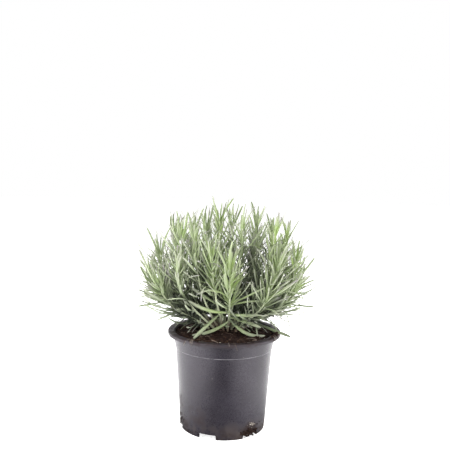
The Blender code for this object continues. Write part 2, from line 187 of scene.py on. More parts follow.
def carve(piece, cutter):
    cutting = piece.modifiers.new("carve", "BOOLEAN")
    cutting.operation = "DIFFERENCE"
    cutting.object = cutter
    pick(piece)
    bpy.ops.object.modifier_apply(modifier=cutting.name)


def feed(tree, socket, value):  # from another socket, or a value of its own
    if isinstance(value, bpy.types.NodeSocket):
        tree.links.new(value, socket)
    else:
        socket.default_value = value


def node(tree, kind, links=None, **settings):
    made = tree.nodes.new("ShaderNode" + kind)
    for label, value in settings.items():
        setattr(made, label, value)
    for label, value in (links or {}).items():
        feed(tree, made.inputs[label], value)
    return made


def blendColours(tree, share, one, other, way="MIX"):
    return node(tree, "Mix", {0: share, 6: one, 7: other}, data_type="RGBA", blend_type=way).outputs[2]


def calculate(tree, operation, *values, clamp=False):
    return node(tree, "Math", dict(enumerate(values)), operation=operation, use_clamp=clamp).outputs[0]


def ranged(tree, value, low, high, toLow=0.0, toHigh=1.0):
    links = {"Value": value, "From Min": low, "From Max": high, "To Min": toLow, "To Max": toHigh}
    return node(tree, "MapRange", links).outputs["Result"]


def patterned(tree, place, scale, detail, roughness=0.5):  # soft noise
    links = {"Vector": place, "Scale": scale, "Detail": detail, "Roughness": roughness}
    return node(tree, "TexNoise", links).outputs["Fac"]


def placeIn(tree):
    return node(tree, "TexCoord").outputs["Object"]


def axis(tree, place, label):
    return node(tree, "SeparateXYZ", {"Vector": place}).outputs[label]


# Node groups, each built once and placed in several materials with its own values
def newGroup(name, inputs, outputs):
    group = bpy.data.node_groups.new(name, "ShaderNodeTree")
    for label, value in inputs.items():
        kind = "NodeSocketColor" if isinstance(value, tuple) else "NodeSocketFloat"
        group.interface.new_socket(label, in_out="INPUT", socket_type=kind).default_value = value
    for label, kind in outputs.items():
        group.interface.new_socket(label, in_out="OUTPUT", socket_type="NodeSocket" + kind)
    return group, group.nodes.new("NodeGroupInput").outputs, group.nodes.new("NodeGroupOutput").inputs


def makeMottle():  # two colours in soft patches of a given size, with a finer grain over them
    inputs = {
        "Colour": (1, 1, 1, 1),
        "Patch Colour": (0, 0, 0, 1),
        "Patches Per Metre": 60,
        "Grain Per Metre": 900,
        "Grain": 0.2,
    }
    group, given, result = newGroup("mottle", inputs, {"Colour": "Color", "Grain": "Float"})
    place = placeIn(group)
    patches = patterned(group, place, given["Patches Per Metre"], 3, 0.6)
    grain = patterned(group, place, given["Grain Per Metre"], 2)
    share = ranged(group, patches, 0.36, 0.64)
    patched = blendColours(group, share, given["Colour"], given["Patch Colour"])
    darkness = calculate(group, "MULTIPLY", ranged(group, grain, 0.35, 0.6, 1, 0), given["Grain"])
    feed(group, result["Colour"], blendColours(group, darkness, patched, (0, 0, 0, 1), "MULTIPLY"))
    feed(group, result["Grain"], grain)
    return group


def makePeatDust():  # brown dust that clings to whatever stands near the peat or the ground
    inputs = {
        "Colour": (1, 1, 1, 1),
        "Dust Colour": (0.1, 0.07, 0.05, 1),
        "Clear Height": 0.03,
        "Most": 0.5,
    }
    group, given, result = newGroup("peatDust", inputs, {"Colour": "Color", "Dust": "Float"})
    place = placeIn(group)
    lowness = calculate(group, "DIVIDE", axis(group, place, "Z"), given["Clear Height"])
    lowness = calculate(group, "SUBTRACT", 1, lowness, clamp=True)
    spots = ranged(group, patterned(group, place, 55, 5, 0.7), 0.45, 0.62)
    dust = calculate(group, "MULTIPLY", calculate(group, "MULTIPLY", spots, lowness), given["Most"])
    feed(group, result["Colour"], blendColours(group, dust, given["Colour"], given["Dust Colour"]))
    feed(group, result["Dust"], dust)
    return group


groups = {"mottle": makeMottle(), "peatDust": makePeatDust()}


def spaced(values):  # a keyword for each socket, with its spaces back
    return {label.replace("_", " "): value for label, value in values.items()}


def place(tree, name, **values):  # one of the node groups, in a material
    return node(tree, "Group", spaced(values), node_tree=groups[name]).outputs


def newMaterial(name, **constants):
    material = bpy.data.materials.new(name)
    material.use_nodes = True
    shader = material.node_tree.nodes["Principled BSDF"]
    for label, value in spaced(constants).items():
        shader.inputs[label].default_value = value
    return material, material.node_tree, shader.inputs


def reading(tree, name):
    return node(tree, "Attribute", attribute_name=name).outputs["Fac"]


def bumpInto(tree, shader, height, strength, distance):
    bump = node(tree, "Bump", {"Height": height, "Strength": strength, "Distance": distance})
    feed(tree, shader["Normal"], bump.outputs["Normal"])


# Camera, floor and light
cameraLook = {
    "place": (-0.0018, -0.698, 0.2921),
    "lookingDown": 4.8,  # degrees
    "roll": 1.26,
    "lens": 48.99,
    "sensor": 36,
}
lightLook = {
    "surroundings": 0.3,  # on what the camera doesn't see directly; seen, they are white
    "mirroredInFront": 0.38,  # and mirrored, white behind the plant and this before it
    "floorMirrored": (0.22, 1.4),
    "floorDark": ((0.03, 0.15), (-0.02, 0.08)),  # where that changes, to either side and backwards
    "floorColour": 0.9,
    "floorGlow": 0.8,  # so that the camera sees it as white as what is behind
    "floorRadius": 6,
    "aim": (0, 0, 0.14),
    "lamps": {  # place, size, watts, colour
        "top": ((-0.2, -0.5, 1.2), 0.7, 10, (1, 0.99, 0.97)),
        "front": ((0.25, -1.3, 0.6), 0.7, 8, (1, 1, 1)),
        "behind": ((0.3, 1.1, 0.7), 0.8, 9, (1, 1, 1)),
        "left": ((-0.9, -0.25, 0.5), 0.8, 15, (1, 1, 1)),
        "right": ((0.9, -0.35, 0.5), 0.8, 11, (1, 1, 1)),
    },
}


def makeCamera():
    camera = added("camera", bpy.data.cameras.new("camera"))
    camera.data.sensor_width = cameraLook["sensor"]
    camera.data.lens = cameraLook["lens"]
    tilt = Matrix.Rotation(math.radians(90 - cameraLook["lookingDown"]), 4, "X")
    roll = Matrix.Rotation(math.radians(cameraLook["roll"]), 4, "Z")
    camera.matrix_world = Matrix.Translation(cameraLook["place"]) @ tilt @ roll
    bpy.context.scene.camera = camera


def makeLights():
    world = bpy.data.worlds.new("white")
    world.use_nodes = True
    tree = world.node_tree
    background = tree.nodes["Background"].inputs
    background["Color"].default_value = (1, 1, 1, 1)
    rays = node(tree, "LightPath").outputs
    behind = ranged(tree, axis(tree, node(tree, "TexCoord").outputs["Generated"], "Y"), -0.5, 0.3)
    mirrored = ranged(tree, behind, 0, 1, lightLook["mirroredInFront"], 1)
    mirrored = calculate(tree, "MULTIPLY", rays["Is Glossy Ray"], mirrored)
    direct = calculate(tree, "MAXIMUM", rays["Is Camera Ray"], mirrored)
    feed(tree, background["Strength"], calculate(tree, "MAXIMUM", direct, lightLook["surroundings"]))
    bpy.context.scene.world = world
    for name, (spot, size, watts, colour) in lightLook["lamps"].items():
        lamp = added(name, bpy.data.lights.new(name, "AREA"))
        lamp.data.size = size
        lamp.data.energy = watts
        lamp.data.color = colour
        lamp.location = spot
        lamp.visible_glossy = False  # only the white surroundings are mirrored in the pot
        toPlant = Vector(lightLook["aim"]) - lamp.location
        lamp.rotation_euler = toPlant.to_track_quat("-Z", "Y").to_euler()


def makeFloor():
    deselectAll()
    bpy.ops.mesh.primitive_circle_add(vertices=96, radius=lightLook["floorRadius"], fill_type="NGON")
    floor = named("floor")
    material, tree, shader = newMaterial("paleFloor", Roughness=0.7, Emission_Color=(1, 1, 1, 1))
    rays = node(tree, "LightPath").outputs
    glow = calculate(tree, "MULTIPLY", rays["Is Camera Ray"], lightLook["floorGlow"])
    feed(tree, shader["Emission Strength"], glow)
    # Mirrored in the pot, the floor is dark straight in front and bright at the sides and behind.
    place = placeIn(tree)
    aside, back = lightLook["floorDark"]
    sideways = ranged(tree, calculate(tree, "ABSOLUTE", axis(tree, place, "X")), *aside)
    bright = calculate(tree, "MAXIMUM", sideways, ranged(tree, axis(tree, place, "Y"), *back))
    mirrored = ranged(tree, bright, 0, 1, *lightLook["floorMirrored"])
    shades = {"Factor": rays["Is Glossy Ray"], "A": lightLook["floorColour"], "B": mirrored}
    feed(tree, shader["Base Color"], node(tree, "Mix", shades).outputs["Result"])
    putOn(floor, material)


bpy.context.scene.view_settings.view_transform = "Standard"
makeCamera()
makeLights()
makeFloor()
print("camera, lights and floor are in place")

# Pot, a thin moulding with a flanged lip, a collar and a notched foot
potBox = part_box("pot")
potLook = {
    "height": potBox[1].z,
    "lipRadius": potBox[1].x,
    "lipDrop": 4 * mm,
    "collarTop": 58.9 * mm,
    "collarFoot": 56.4 * mm,
    "collarHeight": 93.2 * mm,
    "bodyTop": 55.7 * mm,
    "bodyFoot": 48.9 * mm,
    "wall": 1.2 * mm,
    "rounding": 0.8 * mm,
    "plateHeight": 6 * mm,
    "sides": 128,
    "notches": 6,
    "notchWidth": 20 * mm,
    "notchHeight": 5.5 * mm,
    "firstNotch": -110,
    "notchRounding": 1.2 * mm,
    "drainRadius": 4 * mm,
    "drainRing": 37 * mm,
    "colour": (0.0135, 0.011, 0.016, 1),
    "worn": (0.024, 0.021, 0.029, 1),
    # the pale line painted on the collar's edge as a highlight
    "collarHighlight": (0.3, 0.29, 0.31, 1),
    "dust": (0.066, 0.05, 0.042, 1),
    "scuff": (0.34, 0.33, 0.34, 1),
    "stain": (0.02, 0.012, 0.011, 1),
    "plateRings": (8 * mm, 28 * mm),
    "bodyRings": (72 * mm, 50 * mm, 28 * mm, 12 * mm),
    "patchesPerMetre": 17,
    "scratchesPerMetre": 95,
    "scratchLevel": 14,  # times as long as high
    "blotsPerMetre": 130,
    "dustUpTo": 24 * mm,
    "lipStain": (102 * mm, 110 * mm),  # it sets in between these heights
    # Each stain's place and radius in millimetres, and how strong it is.
    "stains": (
        ((30, -39, 7), 15, 1.1),
        ((-42, -26, 10), 11, 0.6),
        ((5, -49, 3), 20, 0.5),
        ((-26, -42, 25), 20, 0.42),
        ((-46, -20, 34), 16, 0.38),
    ),
}


def bodyRadius(height):
    return mixed(potLook["bodyFoot"], potLook["bodyTop"], height / potLook["collarHeight"])


def potOutline():  # from the floor plate's middle up the inside, over the lip and down the outside
    wall, rounding, top = potLook["wall"], potLook["rounding"], potLook["height"]
    collar, neck, ledge = potLook["collarTop"], potLook["collarFoot"], potLook["collarHeight"]
    lip, hem, plate = potLook["lipRadius"], potLook["lipRadius"] - wall, potLook["plateHeight"]
    lipFoot, edge = top - potLook["lipDrop"], rounding / 3
    skirt, inside, bend = potLook["bodyFoot"] - 2 * wall, plate + wall, 1.4 * wall
    outline = [(radius, inside) for radius in potLook["plateRings"]]
    outline += arc((bodyRadius(inside) - wall - bend, inside + bend), bend, -90, 0, 4)
    outline += [(potLook["bodyTop"] - wall, ledge), (neck - wall, ledge + wall)]
    for centre, radius, start, end, steps in (
        ((collar - wall + rounding, top - rounding), rounding, 180, 90, 4),
        ((lip - rounding, top - rounding), rounding, 90, 0, 5),
        ((lip - edge, lipFoot + edge), edge, 0, -90, 3),
        ((hem + edge, lipFoot + edge), edge, -90, -180, 3),
        ((hem - edge, top - wall - edge), edge, 0, 90, 3),
        ((collar + rounding, top - wall - rounding), rounding, 90, 180, 4),
        ((neck - edge, ledge + edge), edge, 0, -80, 4),
    ):
        outline += arc(centre, radius, start, end, steps)
    outline += [(potLook["bodyTop"], ledge - rounding / 2)]
    outline += [(bodyRadius(height), height) for height in potLook["bodyRings"]]
    outline += arc((bodyRadius(0) - rounding, rounding), rounding, 0, -90, 4)
    outline += [(skirt, 0), (skirt + rounding / 2, plate - rounding), (skirt - rounding, plate)]
    return outline + [(radius, plate) for radius in reversed(potLook["plateRings"])]


def potCutters():  # a round-shouldered block for each notch, and a drain hole inside each
    cutters = []
    for i in range(potLook["notches"]):
        turn = Matrix.Rotation(math.radians(potLook["firstNotch"] + 360 * i / potLook["notches"]), 4, "Z")
        deselectAll()
        bpy.ops.mesh.primitive_cube_add(size=1)
        notch = named("notch")
        notch.scale = (8 * potLook["wall"], potLook["notchWidth"], 2 * potLook["notchHeight"])
        settle(notch)
        rounding = notch.modifiers.new("shoulders", "BEVEL")
        rounding.width = potLook["notchRounding"]
        rounding.segments = 4
        bpy.ops.object.modifier_apply(modifier=rounding.name)
        notch.data.transform(turn @ Matrix.Translation((potLook["bodyFoot"], 0, 0)))
        drainPlace = turn @ Vector((potLook["drainRing"], 0, potLook["plateHeight"]))
        deselectAll()
        bpy.ops.mesh.primitive_cylinder_add(
            vertices=24, radius=potLook["drainRadius"], depth=8 * potLook["wall"], location=drainPlace
        )
        drain = named("drain")
        settle(drain)
        cutters += [notch, drain]
    return cutters


def makePotMaterial():
    material, tree, shader = newMaterial(
        "potPlastic", Specular_IOR_Level=0.5, Specular_Tint=(0.97, 0.93, 1, 1)
    )
    mottle = place(
        tree, "mottle", Colour=potLook["colour"], Patch_Colour=potLook["worn"],
        Patches_Per_Metre=potLook["patchesPerMetre"], Grain_Per_Metre=1500, Grain=0.12,
    )
    dust = place(
        tree, "peatDust", Colour=mottle["Colour"], Dust_Colour=potLook["dust"],
        Clear_Height=potLook["dustUpTo"], Most=0.9,
    )
    # Scuffs are thin pale scratches, mostly level, as from other pots in a tray.
    spot = placeIn(tree)
    stretched = node(tree, "Mapping", {"Vector": spot, "Scale": (1, 1, potLook["scratchLevel"])})
    scratches = patterned(tree, stretched.outputs["Vector"], potLook["scratchesPerMetre"], 6, 0.75)
    scuffs = ranged(tree, scratches, 0.64, 0.78, 0, 0.35)
    colour = blendColours(tree, scuffs, dust["Colour"], potLook["scuff"])
    # A painted highlight: a pale line is painted all round the collar's lower edge, where its rounded edge
    # catches the light.
    height = axis(tree, spot, "Z")
    offEdge = calculate(tree, "SUBTRACT", height, potLook["collarHeight"] + 0.1 * mm)
    offEdge = calculate(tree, "ABSOLUTE", offEdge)
    broken = ranged(tree, scratches, 0.4, 0.6, 0.12, 1)
    highlightMask = calculate(tree, "MULTIPLY", ranged(tree, offEdge, 0.25 * mm, 0.6 * mm, 0.75, 0), broken)
    colour = blendColours(tree, highlightMask, colour, potLook["collarHighlight"])
    # Wet peat has left stains: on the lip, and round the clumps at the foot.
    stained = ranged(tree, height, *potLook["lipStain"], 0, 0.5)
    for centre, radius, most in potLook["stains"]:
        away = node(tree, "VectorMath", {0: spot, 1: Vector(centre) * mm}, operation="DISTANCE")
        stain = ranged(tree, away.outputs["Value"], 0.3 * radius * mm, radius * mm, most, 0)
        stained = calculate(tree, "MAXIMUM", stained, stain)
    blots = patterned(tree, spot, potLook["blotsPerMetre"], 5, 0.7)
    blots = ranged(tree, blots, 0.3, 0.7, -0.32, 0.32)
    stained = ranged(tree, calculate(tree, "ADD", stained, blots), 0.2, 0.75, 0, 0.95)
    feed(tree, shader["Base Color"], blendColours(tree, stained, colour, potLook["stain"]))
    roughness = ranged(tree, mottle["Grain"], 0.3, 0.7, 0.22, 0.34)
    dirt = calculate(tree, "MULTIPLY", calculate(tree, "MAXIMUM", dust["Dust"], stained), 0.45)
    feed(tree, shader["Roughness"], calculate(tree, "ADD", roughness, dirt))
    bumpInto(tree, shader, mottle["Grain"], 0.25, 0.15 * mm)
    return material


def makePot():
    pot = turnedPiece("nurseryPot", potOutline(), potLook["sides"])
    cutters = potCutters()
    for cutter in cutters:
        carve(pot, cutter)
    discard(*cutters)
    smooth(pot, 32)
    putOn(pot, makePotMaterial())
    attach(pot, "root")
    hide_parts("pot")


makePot()
print("the pot is turned and notched")

# Peat, its crumbly top and what has spilled onto the pot
peatLook = {
    "gap": 0.35 * mm,
    "edgeHeight": 108.3 * mm,
    "mound": 5 * mm,
    "lump": 0.9 * mm,
    "rings": 40,
    "sides": 128,
    "clod": 1.3 * mm,
    "clodsPerMetre": 170,
    "crumble": 0.6 * mm,
    "crumblesPerMetre": 600,
    "colour": (0.012, 0.0065, 0.006, 1),
    "dry": (0.03, 0.017, 0.014, 1),
    "perliteColour": (0.55, 0.5, 0.44, 1),
    "barkColour": (0.085, 0.048, 0.03, 1),
    "middleRing": 10 * mm,
    "crumbs": 1300,
    "crumbSize": (0.5 * mm, 2 * mm),
    "finerFrom": 1.3 * mm,  # the size from which a crumb has more faces
    "barkShare": 0.12,
    "perlite": 26,
    "perliteSize": (0.35, 0.9),
    "fibres": 130,
    "fibreLength": (5, 15),
    "fibreWidth": (0.12, 0.3),
    "rootletWidth": (0.14, 0.3),
    "seed": 5,
}


def peatTop(x, y):  # a low mound with lumps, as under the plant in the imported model
    reach = math.hypot(x, y) / potLook["collarTop"]
    mound = peatLook["edgeHeight"] + peatLook["mound"] * max(0.0, 1 - reach * reach)
    waves = math.sin(x / (5 * mm) + 1.3) * math.sin(y / (6 * mm) - 0.4)
    ripple = math.sin(x / (2.9 * mm) - y / (4.1 * mm))
    return mound + peatLook["lump"] * (0.7 * waves + 0.3 * ripple)


def peatRim():
    ledge = potLook["collarHeight"]
    rise = (peatLook["edgeHeight"] - ledge) / (potLook["height"] - ledge)
    inside = mixed(potLook["collarFoot"], potLook["collarTop"], rise) - potLook["wall"]
    return inside - peatLook["gap"]


def crumbled(x, y):  # the peat's height with its clods and crumbs
    spot = Vector((x, y, 0))
    clods = noise.fractal(spot * peatLook["clodsPerMetre"], 1.0, 2.0, 3)
    crumbs = abs(noise.noise(spot * peatLook["crumblesPerMetre"]))
    return peatTop(x, y) + peatLook["clod"] * clods + peatLook["crumble"] * crumbs


def makePeatMaterial():
    material, tree, shader = newMaterial("peat", Roughness=0.95, Specular_IOR_Level=0.25)
    mottle = place(
        tree, "mottle", Colour=peatLook["colour"], Patch_Colour=peatLook["dry"],
        Patches_Per_Metre=210, Grain_Per_Metre=2400, Grain=0.7,
    )
    colour = blendColours(tree, reading(tree, "bark"), mottle["Colour"], peatLook["barkColour"])
    colour = blendColours(tree, reading(tree, "pale"), colour, peatLook["perliteColour"])
    feed(tree, shader["Base Color"], colour)
    bumpInto(tree, shader, mottle["Grain"], 0.6, 0.4 * mm)
    return material


def makePeatBody():
    gap, wall, rim, edge = peatLook["gap"], potLook["wall"], peatRim(), peatLook["edgeHeight"]
    plateTop = potLook["plateHeight"] + wall
    foot = bodyRadius(plateTop) - wall - gap
    outline = [
        (peatLook["middleRing"], plateTop + gap),
        (foot - wall, plateTop + gap),
        (foot, plateTop + wall + gap),
        (potLook["bodyTop"] - wall - gap, potLook["collarHeight"]),
        (potLook["collarFoot"] - wall - gap, potLook["collarHeight"] + wall),
        (rim, edge),
    ]
    rings = peatLook["rings"] + 1
    outline += [(rim * (1 - i / rings), edge) for i in range(1, rings)]
    body = turnedPiece("peatBody", outline, peatLook["sides"])
    points = pointsOf(body)
    for i, (x, y, height) in enumerate(points):
        if height > edge - gap:
            points[i][2] = crumbled(x, y)
    movePoints(body, points)
    stamp(body, bark=0, pale=0)
    return body


def crumbTemplates():  # two lumps and two finer ones, each knocked out of shape
    templates = []
    for i in range(4):
        deselectAll()
        bpy.ops.mesh.primitive_ico_sphere_add(subdivisions=1 if i < 2 else 2, radius=1)
        templates.append(named(f"crumb{i}"))
        editAll()
        bpy.ops.transform.vertex_random(offset=0.42, uniform=0.1, normal=0.6, seed=i + 3)
        bpy.ops.transform.resize(value=(1, 0.8, 0.7))
        leaveEdit()
    return templates


def laidCrumb(draw, template, spot, size, flat=0.8, bark=0.0, pale=0.0):
    turn = Matrix.Rotation(draw.uniform(0, math.tau), 4, "Z")
    turn @= Matrix.Rotation(draw.uniform(-0.6, 0.6), 4, "X")
    shape = Matrix.Diagonal((size * draw.uniform(0.8, 1.3), size * draw.uniform(0.6, 1), size * flat, 1))
    crumb = copyOf(template, Matrix.Translation(spot) @ turn @ shape)
    stamp(crumb, bark=bark, pale=pale)
    return crumb


def scattered(draw, reach):  # anywhere on a disc
    reach *= math.sqrt(draw.random())
    bearing = draw.uniform(0, math.tau)
    return reach * math.cos(bearing), reach * math.sin(bearing)


def peatCrumbs(templates):
    draw = random.Random(peatLook["seed"])
    rim = peatRim()
    crumbs = []
    for i in range(peatLook["crumbs"]):
        x, y = scattered(draw, rim - 1.5 * mm)
        size = mixed(*peatLook["crumbSize"], draw.random() ** 2.2)
        bark = draw.uniform(0.4, 1) if draw.random() < peatLook["barkShare"] else draw.uniform(0, 0.2)
        template = templates[2 + i % 2 if size > peatLook["finerFrom"] else i % 2]
        spot = Vector((x, y, crumbled(x, y) + 0.25 * size))
        crumbs.append(laidCrumb(draw, template, spot, size, 0.5 if bark > 0.4 else 0.8, bark))
    for i in range(peatLook["perlite"]):
        x, y = scattered(draw, 0.96 * rim)
        size = draw.uniform(*peatLook["perliteSize"]) * mm
        spot = Vector((x, y, crumbled(x, y) + size / 2))
        crumbs.append(laidCrumb(draw, templates[i % 2], spot, size, pale=0.9))
    return crumbs


def fibreTemplate():
    deselectAll()
    bpy.ops.mesh.primitive_cylinder_add(vertices=4, radius=1, depth=1, end_fill_type="NGON")
    fibre = named("fibre")
    bpy.ops.object.mode_set(mode="EDIT")
    for cut in range(1, 6):
        bpy.ops.mesh.select_all(action="SELECT")
        bpy.ops.mesh.bisect(plane_co=(0, 0, cut / 6 - 0.5), plane_no=up)
    leaveEdit()
    return fibre


def laidFibre(template, points, bark, pale):
    fibre = copyOf(template)
    movePoints(fibre, points)
    stamp(fibre, bark=bark, pale=pale)
    return fibre


def peatFibres(template):  # thin roots that lie over the peat, each in its own curve
    draw = random.Random(peatLook["seed"] + 1)
    straight = pointsOf(template)
    rim = peatRim() - 4 * mm
    fibres = []
    for _ in range(peatLook["fibres"]):
        start = Vector((*scattered(draw, rim), 0))
        heading, length = draw.uniform(0, math.tau), draw.uniform(*peatLook["fibreLength"]) * mm
        thickness, bend = draw.uniform(*peatLook["fibreWidth"]) * mm, draw.uniform(-1.4, 1.4)
        lift = draw.uniform(0.2, 2.2) * mm
        points = []
        for across, deep, along in straight:
            share = along + 0.5
            turn = heading + bend * share
            x = start.x + length * share * math.cos(turn) - across * thickness * math.sin(turn)
            y = start.y + length * share * math.sin(turn) + across * thickness * math.cos(turn)
            rise = 4 * lift * share * (1 - share) + thickness
            points.append((x, y, crumbled(x, y) + rise + deep * thickness))
        if max(math.hypot(x, y) for x, y, _ in points) <= rim:
            fibres.append(laidFibre(template, points, draw.uniform(0.5, 1), draw.uniform(0, 0.25)))
    return fibres


# Clumps and crumbs that cling to the pot: bearing, height, spread along the wall and up it, count
# and size. A height over the lip's own puts them on the lip.
spills = (
    (-22, 113, 5.5, 0.9, 70, 1.3),
    (-122, 113, 5.0, 0.8, 44, 1.1),
    (-84, 113, 22, 0.3, 34, 0.6),
    (60, 113, 30, 0.3, 26, 0.6),
    (160, 113, 30, 0.3, 22, 0.6),
    (-52, 5.5, 5.5, 2.2, 150, 1.2),
    (-46, 9, 9, 3.5, 60, 0.6),
    (-160, 9, 6, 5.0, 70, 0.9),
    (-140, 3, 9, 1.5, 40, 0.6),
    (-104, 2.2, 9, 1.0, 16, 0.6),
    (100, 4, 12, 2.0, 30, 0.8),
)
# Pale specks on the side that shows, as x, height and size, and a smear of paler grains beside a clump.
specks = ((21.6, 95, 0.45), (-12, 71, 0.25), (33, 84, 0.25))
smear = {"middle": (33.5, 15), "spread": (2.4, 1.7), "grains": 34, "size": (0.3, 0.75)}
rootletSpots = ((-122, 7), (-24, 6), (-84, 2), (75, 5), (168, 4))  # bearing and count


def spilledCrumbs(templates):
    draw = random.Random(peatLook["seed"] + 2)
    crumbs = []
    for bearing, height, along, upward, count, size in spills:
        onLip = height * mm > potLook["height"]
        for i in range(count):
            radius = size * draw.uniform(0.4, 1.3) * mm
            z = potLook["height"] if onLip else max(draw.gauss(height, upward) * mm, 1.5 * radius)
            reach = potLook["lipRadius"] - draw.uniform(1, 5.5) * mm if onLip else bodyRadius(z)
            turn = math.radians(bearing) + draw.gauss(0, along) * mm / reach
            if onLip:
                z += abs(draw.gauss(0, upward)) * mm + 0.3 * radius
            else:
                reach += 0.1 * radius
            spot = Vector((reach * math.cos(turn), reach * math.sin(turn), z))
            template = templates[i % 2 if radius < 1.2 * mm else 2 + i % 2]
            crumbs.append(laidCrumb(draw, template, spot, radius, bark=draw.uniform(0, 0.2)))
    (acrossSmear, upSmear), (wide, high) = smear["middle"], smear["spread"]
    grains = [
        (draw.gauss(acrossSmear, wide), draw.gauss(upSmear, high), draw.uniform(*smear["size"]))
        for _ in range(smear["grains"])
    ]
    for x, z, size in (*specks, *grains):
        radius = bodyRadius(z * mm) + (0.7 * mm if z * mm > potLook["collarHeight"] else 0)
        spot = Vector((x * mm, -math.sqrt(radius**2 - (x * mm) ** 2), z * mm))
        crumbs.append(laidCrumb(draw, templates[0], spot, size * mm, 0.6, pale=1.0))
    return crumbs


def lipRootlets(template):  # thin roots that have slipped over the lip and hang there
    draw = random.Random(peatLook["seed"] + 4)
    across, deep, along = pointsOf(template).T
    lip, top = potLook["lipRadius"], potLook["height"]
    shares = np.linspace(-0.5, 0.5, 7)
    rootlets = []
    for bearing, count in rootletSpots:
        for _ in range(count):
            outward = compass(math.radians(bearing + draw.uniform(-6, 6)))
            level = Vector((-outward.y, outward.x, 0))
            start = outward * (lip - draw.uniform(4, 8) * mm) + up * (top + draw.uniform(0, 0.8) * mm)
            end = outward * (lip + draw.uniform(0.2, 2.5) * mm) + up * (top - draw.uniform(1, 8) * mm)
            end += level * draw.uniform(-7, 7) * mm
            over = outward * (lip + 0.8 * mm) + up * (top + draw.uniform(1.5, 5) * mm)
            line = np.array(interpolate_bezier(start, over, end.lerp(over, 0.3), end, len(shares)))
            points = np.stack([np.interp(along, shares, line[:, i]) for i in range(3)], axis=1)
            thickness = draw.uniform(*peatLook["rootletWidth"]) * mm
            points += (np.outer(across, level) + np.outer(deep, outward)) * thickness
            rootlets.append(laidFibre(template, points, draw.uniform(0.3, 1), draw.uniform(0.1, 0.5)))
    return rootlets


def makePeat():
    body, templates, fibre = makePeatBody(), crumbTemplates(), fibreTemplate()
    peat = joined([body] + peatCrumbs(templates) + peatFibres(fibre), "crumblyPeat")
    spilled = joined(spilledCrumbs(templates) + lipRootlets(fibre), "spilledPeat")
    discard(fibre, *templates)
    material = makePeatMaterial()
    for piece in (peat, spilled):
        smooth(piece, 50)
        putOn(piece, material)
        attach(piece, "root")
    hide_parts("peat")


makePeat()
print("the peat is filled in, with crumbs on the pot")

# Leafy shoots: bearing about the pot's axis, the tip's reach from the axis and its height in
# millimetres, and how far the tip leans from upright. Bearing -90 faces the viewer.
shoots = {
    "front_left": (-110, 43, 203, 2),
    "front_right": (-84, 46, 189, -3),
    "front_far_left": (-142, 66, 187, 4),
    "front_far_right": (-30, 66, 195, 5),
    "front_low_right": (-46, 68, 168, 16),
    "left_tall": (-153, 56, 222, 2),
    "left_outer": (179, 76, 198, 2),
    "left_wide": (-176, 86, 176, 10),
    "left_low": (-163, 70, 158, 32),
    "left_front_wide": (-155, 80, 171, 12),
    "left_mid": (-133, 50, 218, 3),
    "left_back_low": (156, 84, 164, 24),
    "middle_left": (-167, 23, 228, 2),
    "middle_back": (114, 20, 237, 1),
    "middle_front": (-41, 23, 226, 2),
    "middle_right": (31, 42, 231, 3),
    "left_back": (157, 66, 218, 3),
    "back_tall": (80, 43, 230, 2),
    "right_tall": (-24, 58, 227, 3),
    "right_outer": (11, 72, 219, 3),
    "right_wide": (-7, 80, 195, 6),
    "right_far": (9, 86, 175, 14),
    "right_front_wide": (-20, 82, 166, 28),
    "right_back_low": (27, 84, 163, 26),
    "back_left": (131, 60, 221, 4),
    "back_far_left": (141, 84, 177, 14),
    "back_wide": (94, 62, 186, 10),
    "back_low_left": (114, 64, 160, 28),
    "back_right": (57, 66, 212, 4),
    "back_far_right": (38, 82, 191, 10),
    "back_low_right": (58, 70, 160, 28),
    "back_base": (88, 47, 142, 48),
    "right_back": (25, 61, 221, 3),
    "inner_right": (6, 35, 207, 3),
    "inner_left": (-178, 34, 203, 3),
}

# The long leaves that arch out over the peat and the lip: shoot, share of the way up it,
# bearing, length in millimetres, spread from the stem, curl towards it, droop, sway and roll
archingLeaves = (
    ("front_right", 0.37, -163, 50, 84, 0.0, -0.75, 0.1, -1.6),
    ("front_right", 0.33, -20, 36, 82, 0.0, -0.5, 0.3, 1.4),
    ("front_left", 0.24, -146, 42, 104, 0.0, 0.2, 0.1, -0.9),
    ("front_right", 0.18, -140, 45, 112, 0.0, -0.45, 0.25, -0.7),
    ("front_right", 0.24, -50, 48, 126, 0.0, -0.95, -0.1, 0.5),
    ("front_right", 0.27, -18, 38, 92, 0.0, 0.0, 0.2, 0.7),
    ("front_right", 0.62, 168, 40, 50, 0.0, 1.3, 0.2, -0.9),
    ("front_right", 0.52, 0, 46, 58, 0.0, -0.1, 0.1, 0.3),
    ("front_right", 0.49, 14, 42, 74, 0.0, 0.35, 0.2, 0.4),
    ("front_left", 0.4, 178, 36, 42, 0.0, 0.0, 0.0, -0.6),
    ("left_wide", 0.6, 176, 42, 50, 0.0, 0.0, 0.1, -0.9),
    ("left_low", 0.55, 178, 34, 60, 0.0, 0.5, 0.3, -0.6),
    ("right_front_wide", 0.2, -8, 46, 58, 0.0, -0.15, 0.2, 0.8),
    ("right_wide", 0.5, -12, 46, 56, 0.0, -0.2, 0.0, 1.0),
    ("right_far", 0.2, 5, 40, 40, -0.2, 0.5, -0.4, 0.3),
    ("right_far", 0.62, -24, 38, 104, 0.0, 1.6, 0.0, 0.3),
    ("back_base", 0.24, 112, 40, 48, -0.1, 0.8, 0.2, 0.3),
)
# Shares of their way up below which some stems show bare
bareBelow = {"front_left": 0.44, "front_right": 0.38, "left_mid": 0.36, "front_far_left": 0.36}
bareFeet = tuple(bareBelow)  # and these have hardly a small leaf at the foot either
bareBelow |= dict.fromkeys(
    ("left_wide", "left_low", "right_far", "right_front_wide", "right_back_low"), 0.3
)
# Shoots with leaves broader or closer to the stem than the others': width, spread
ownHabits = {"front_left": (1.15, 0.62), "front_right": (1.15, 0.66), "right_wide": (1.1, 1.0)}

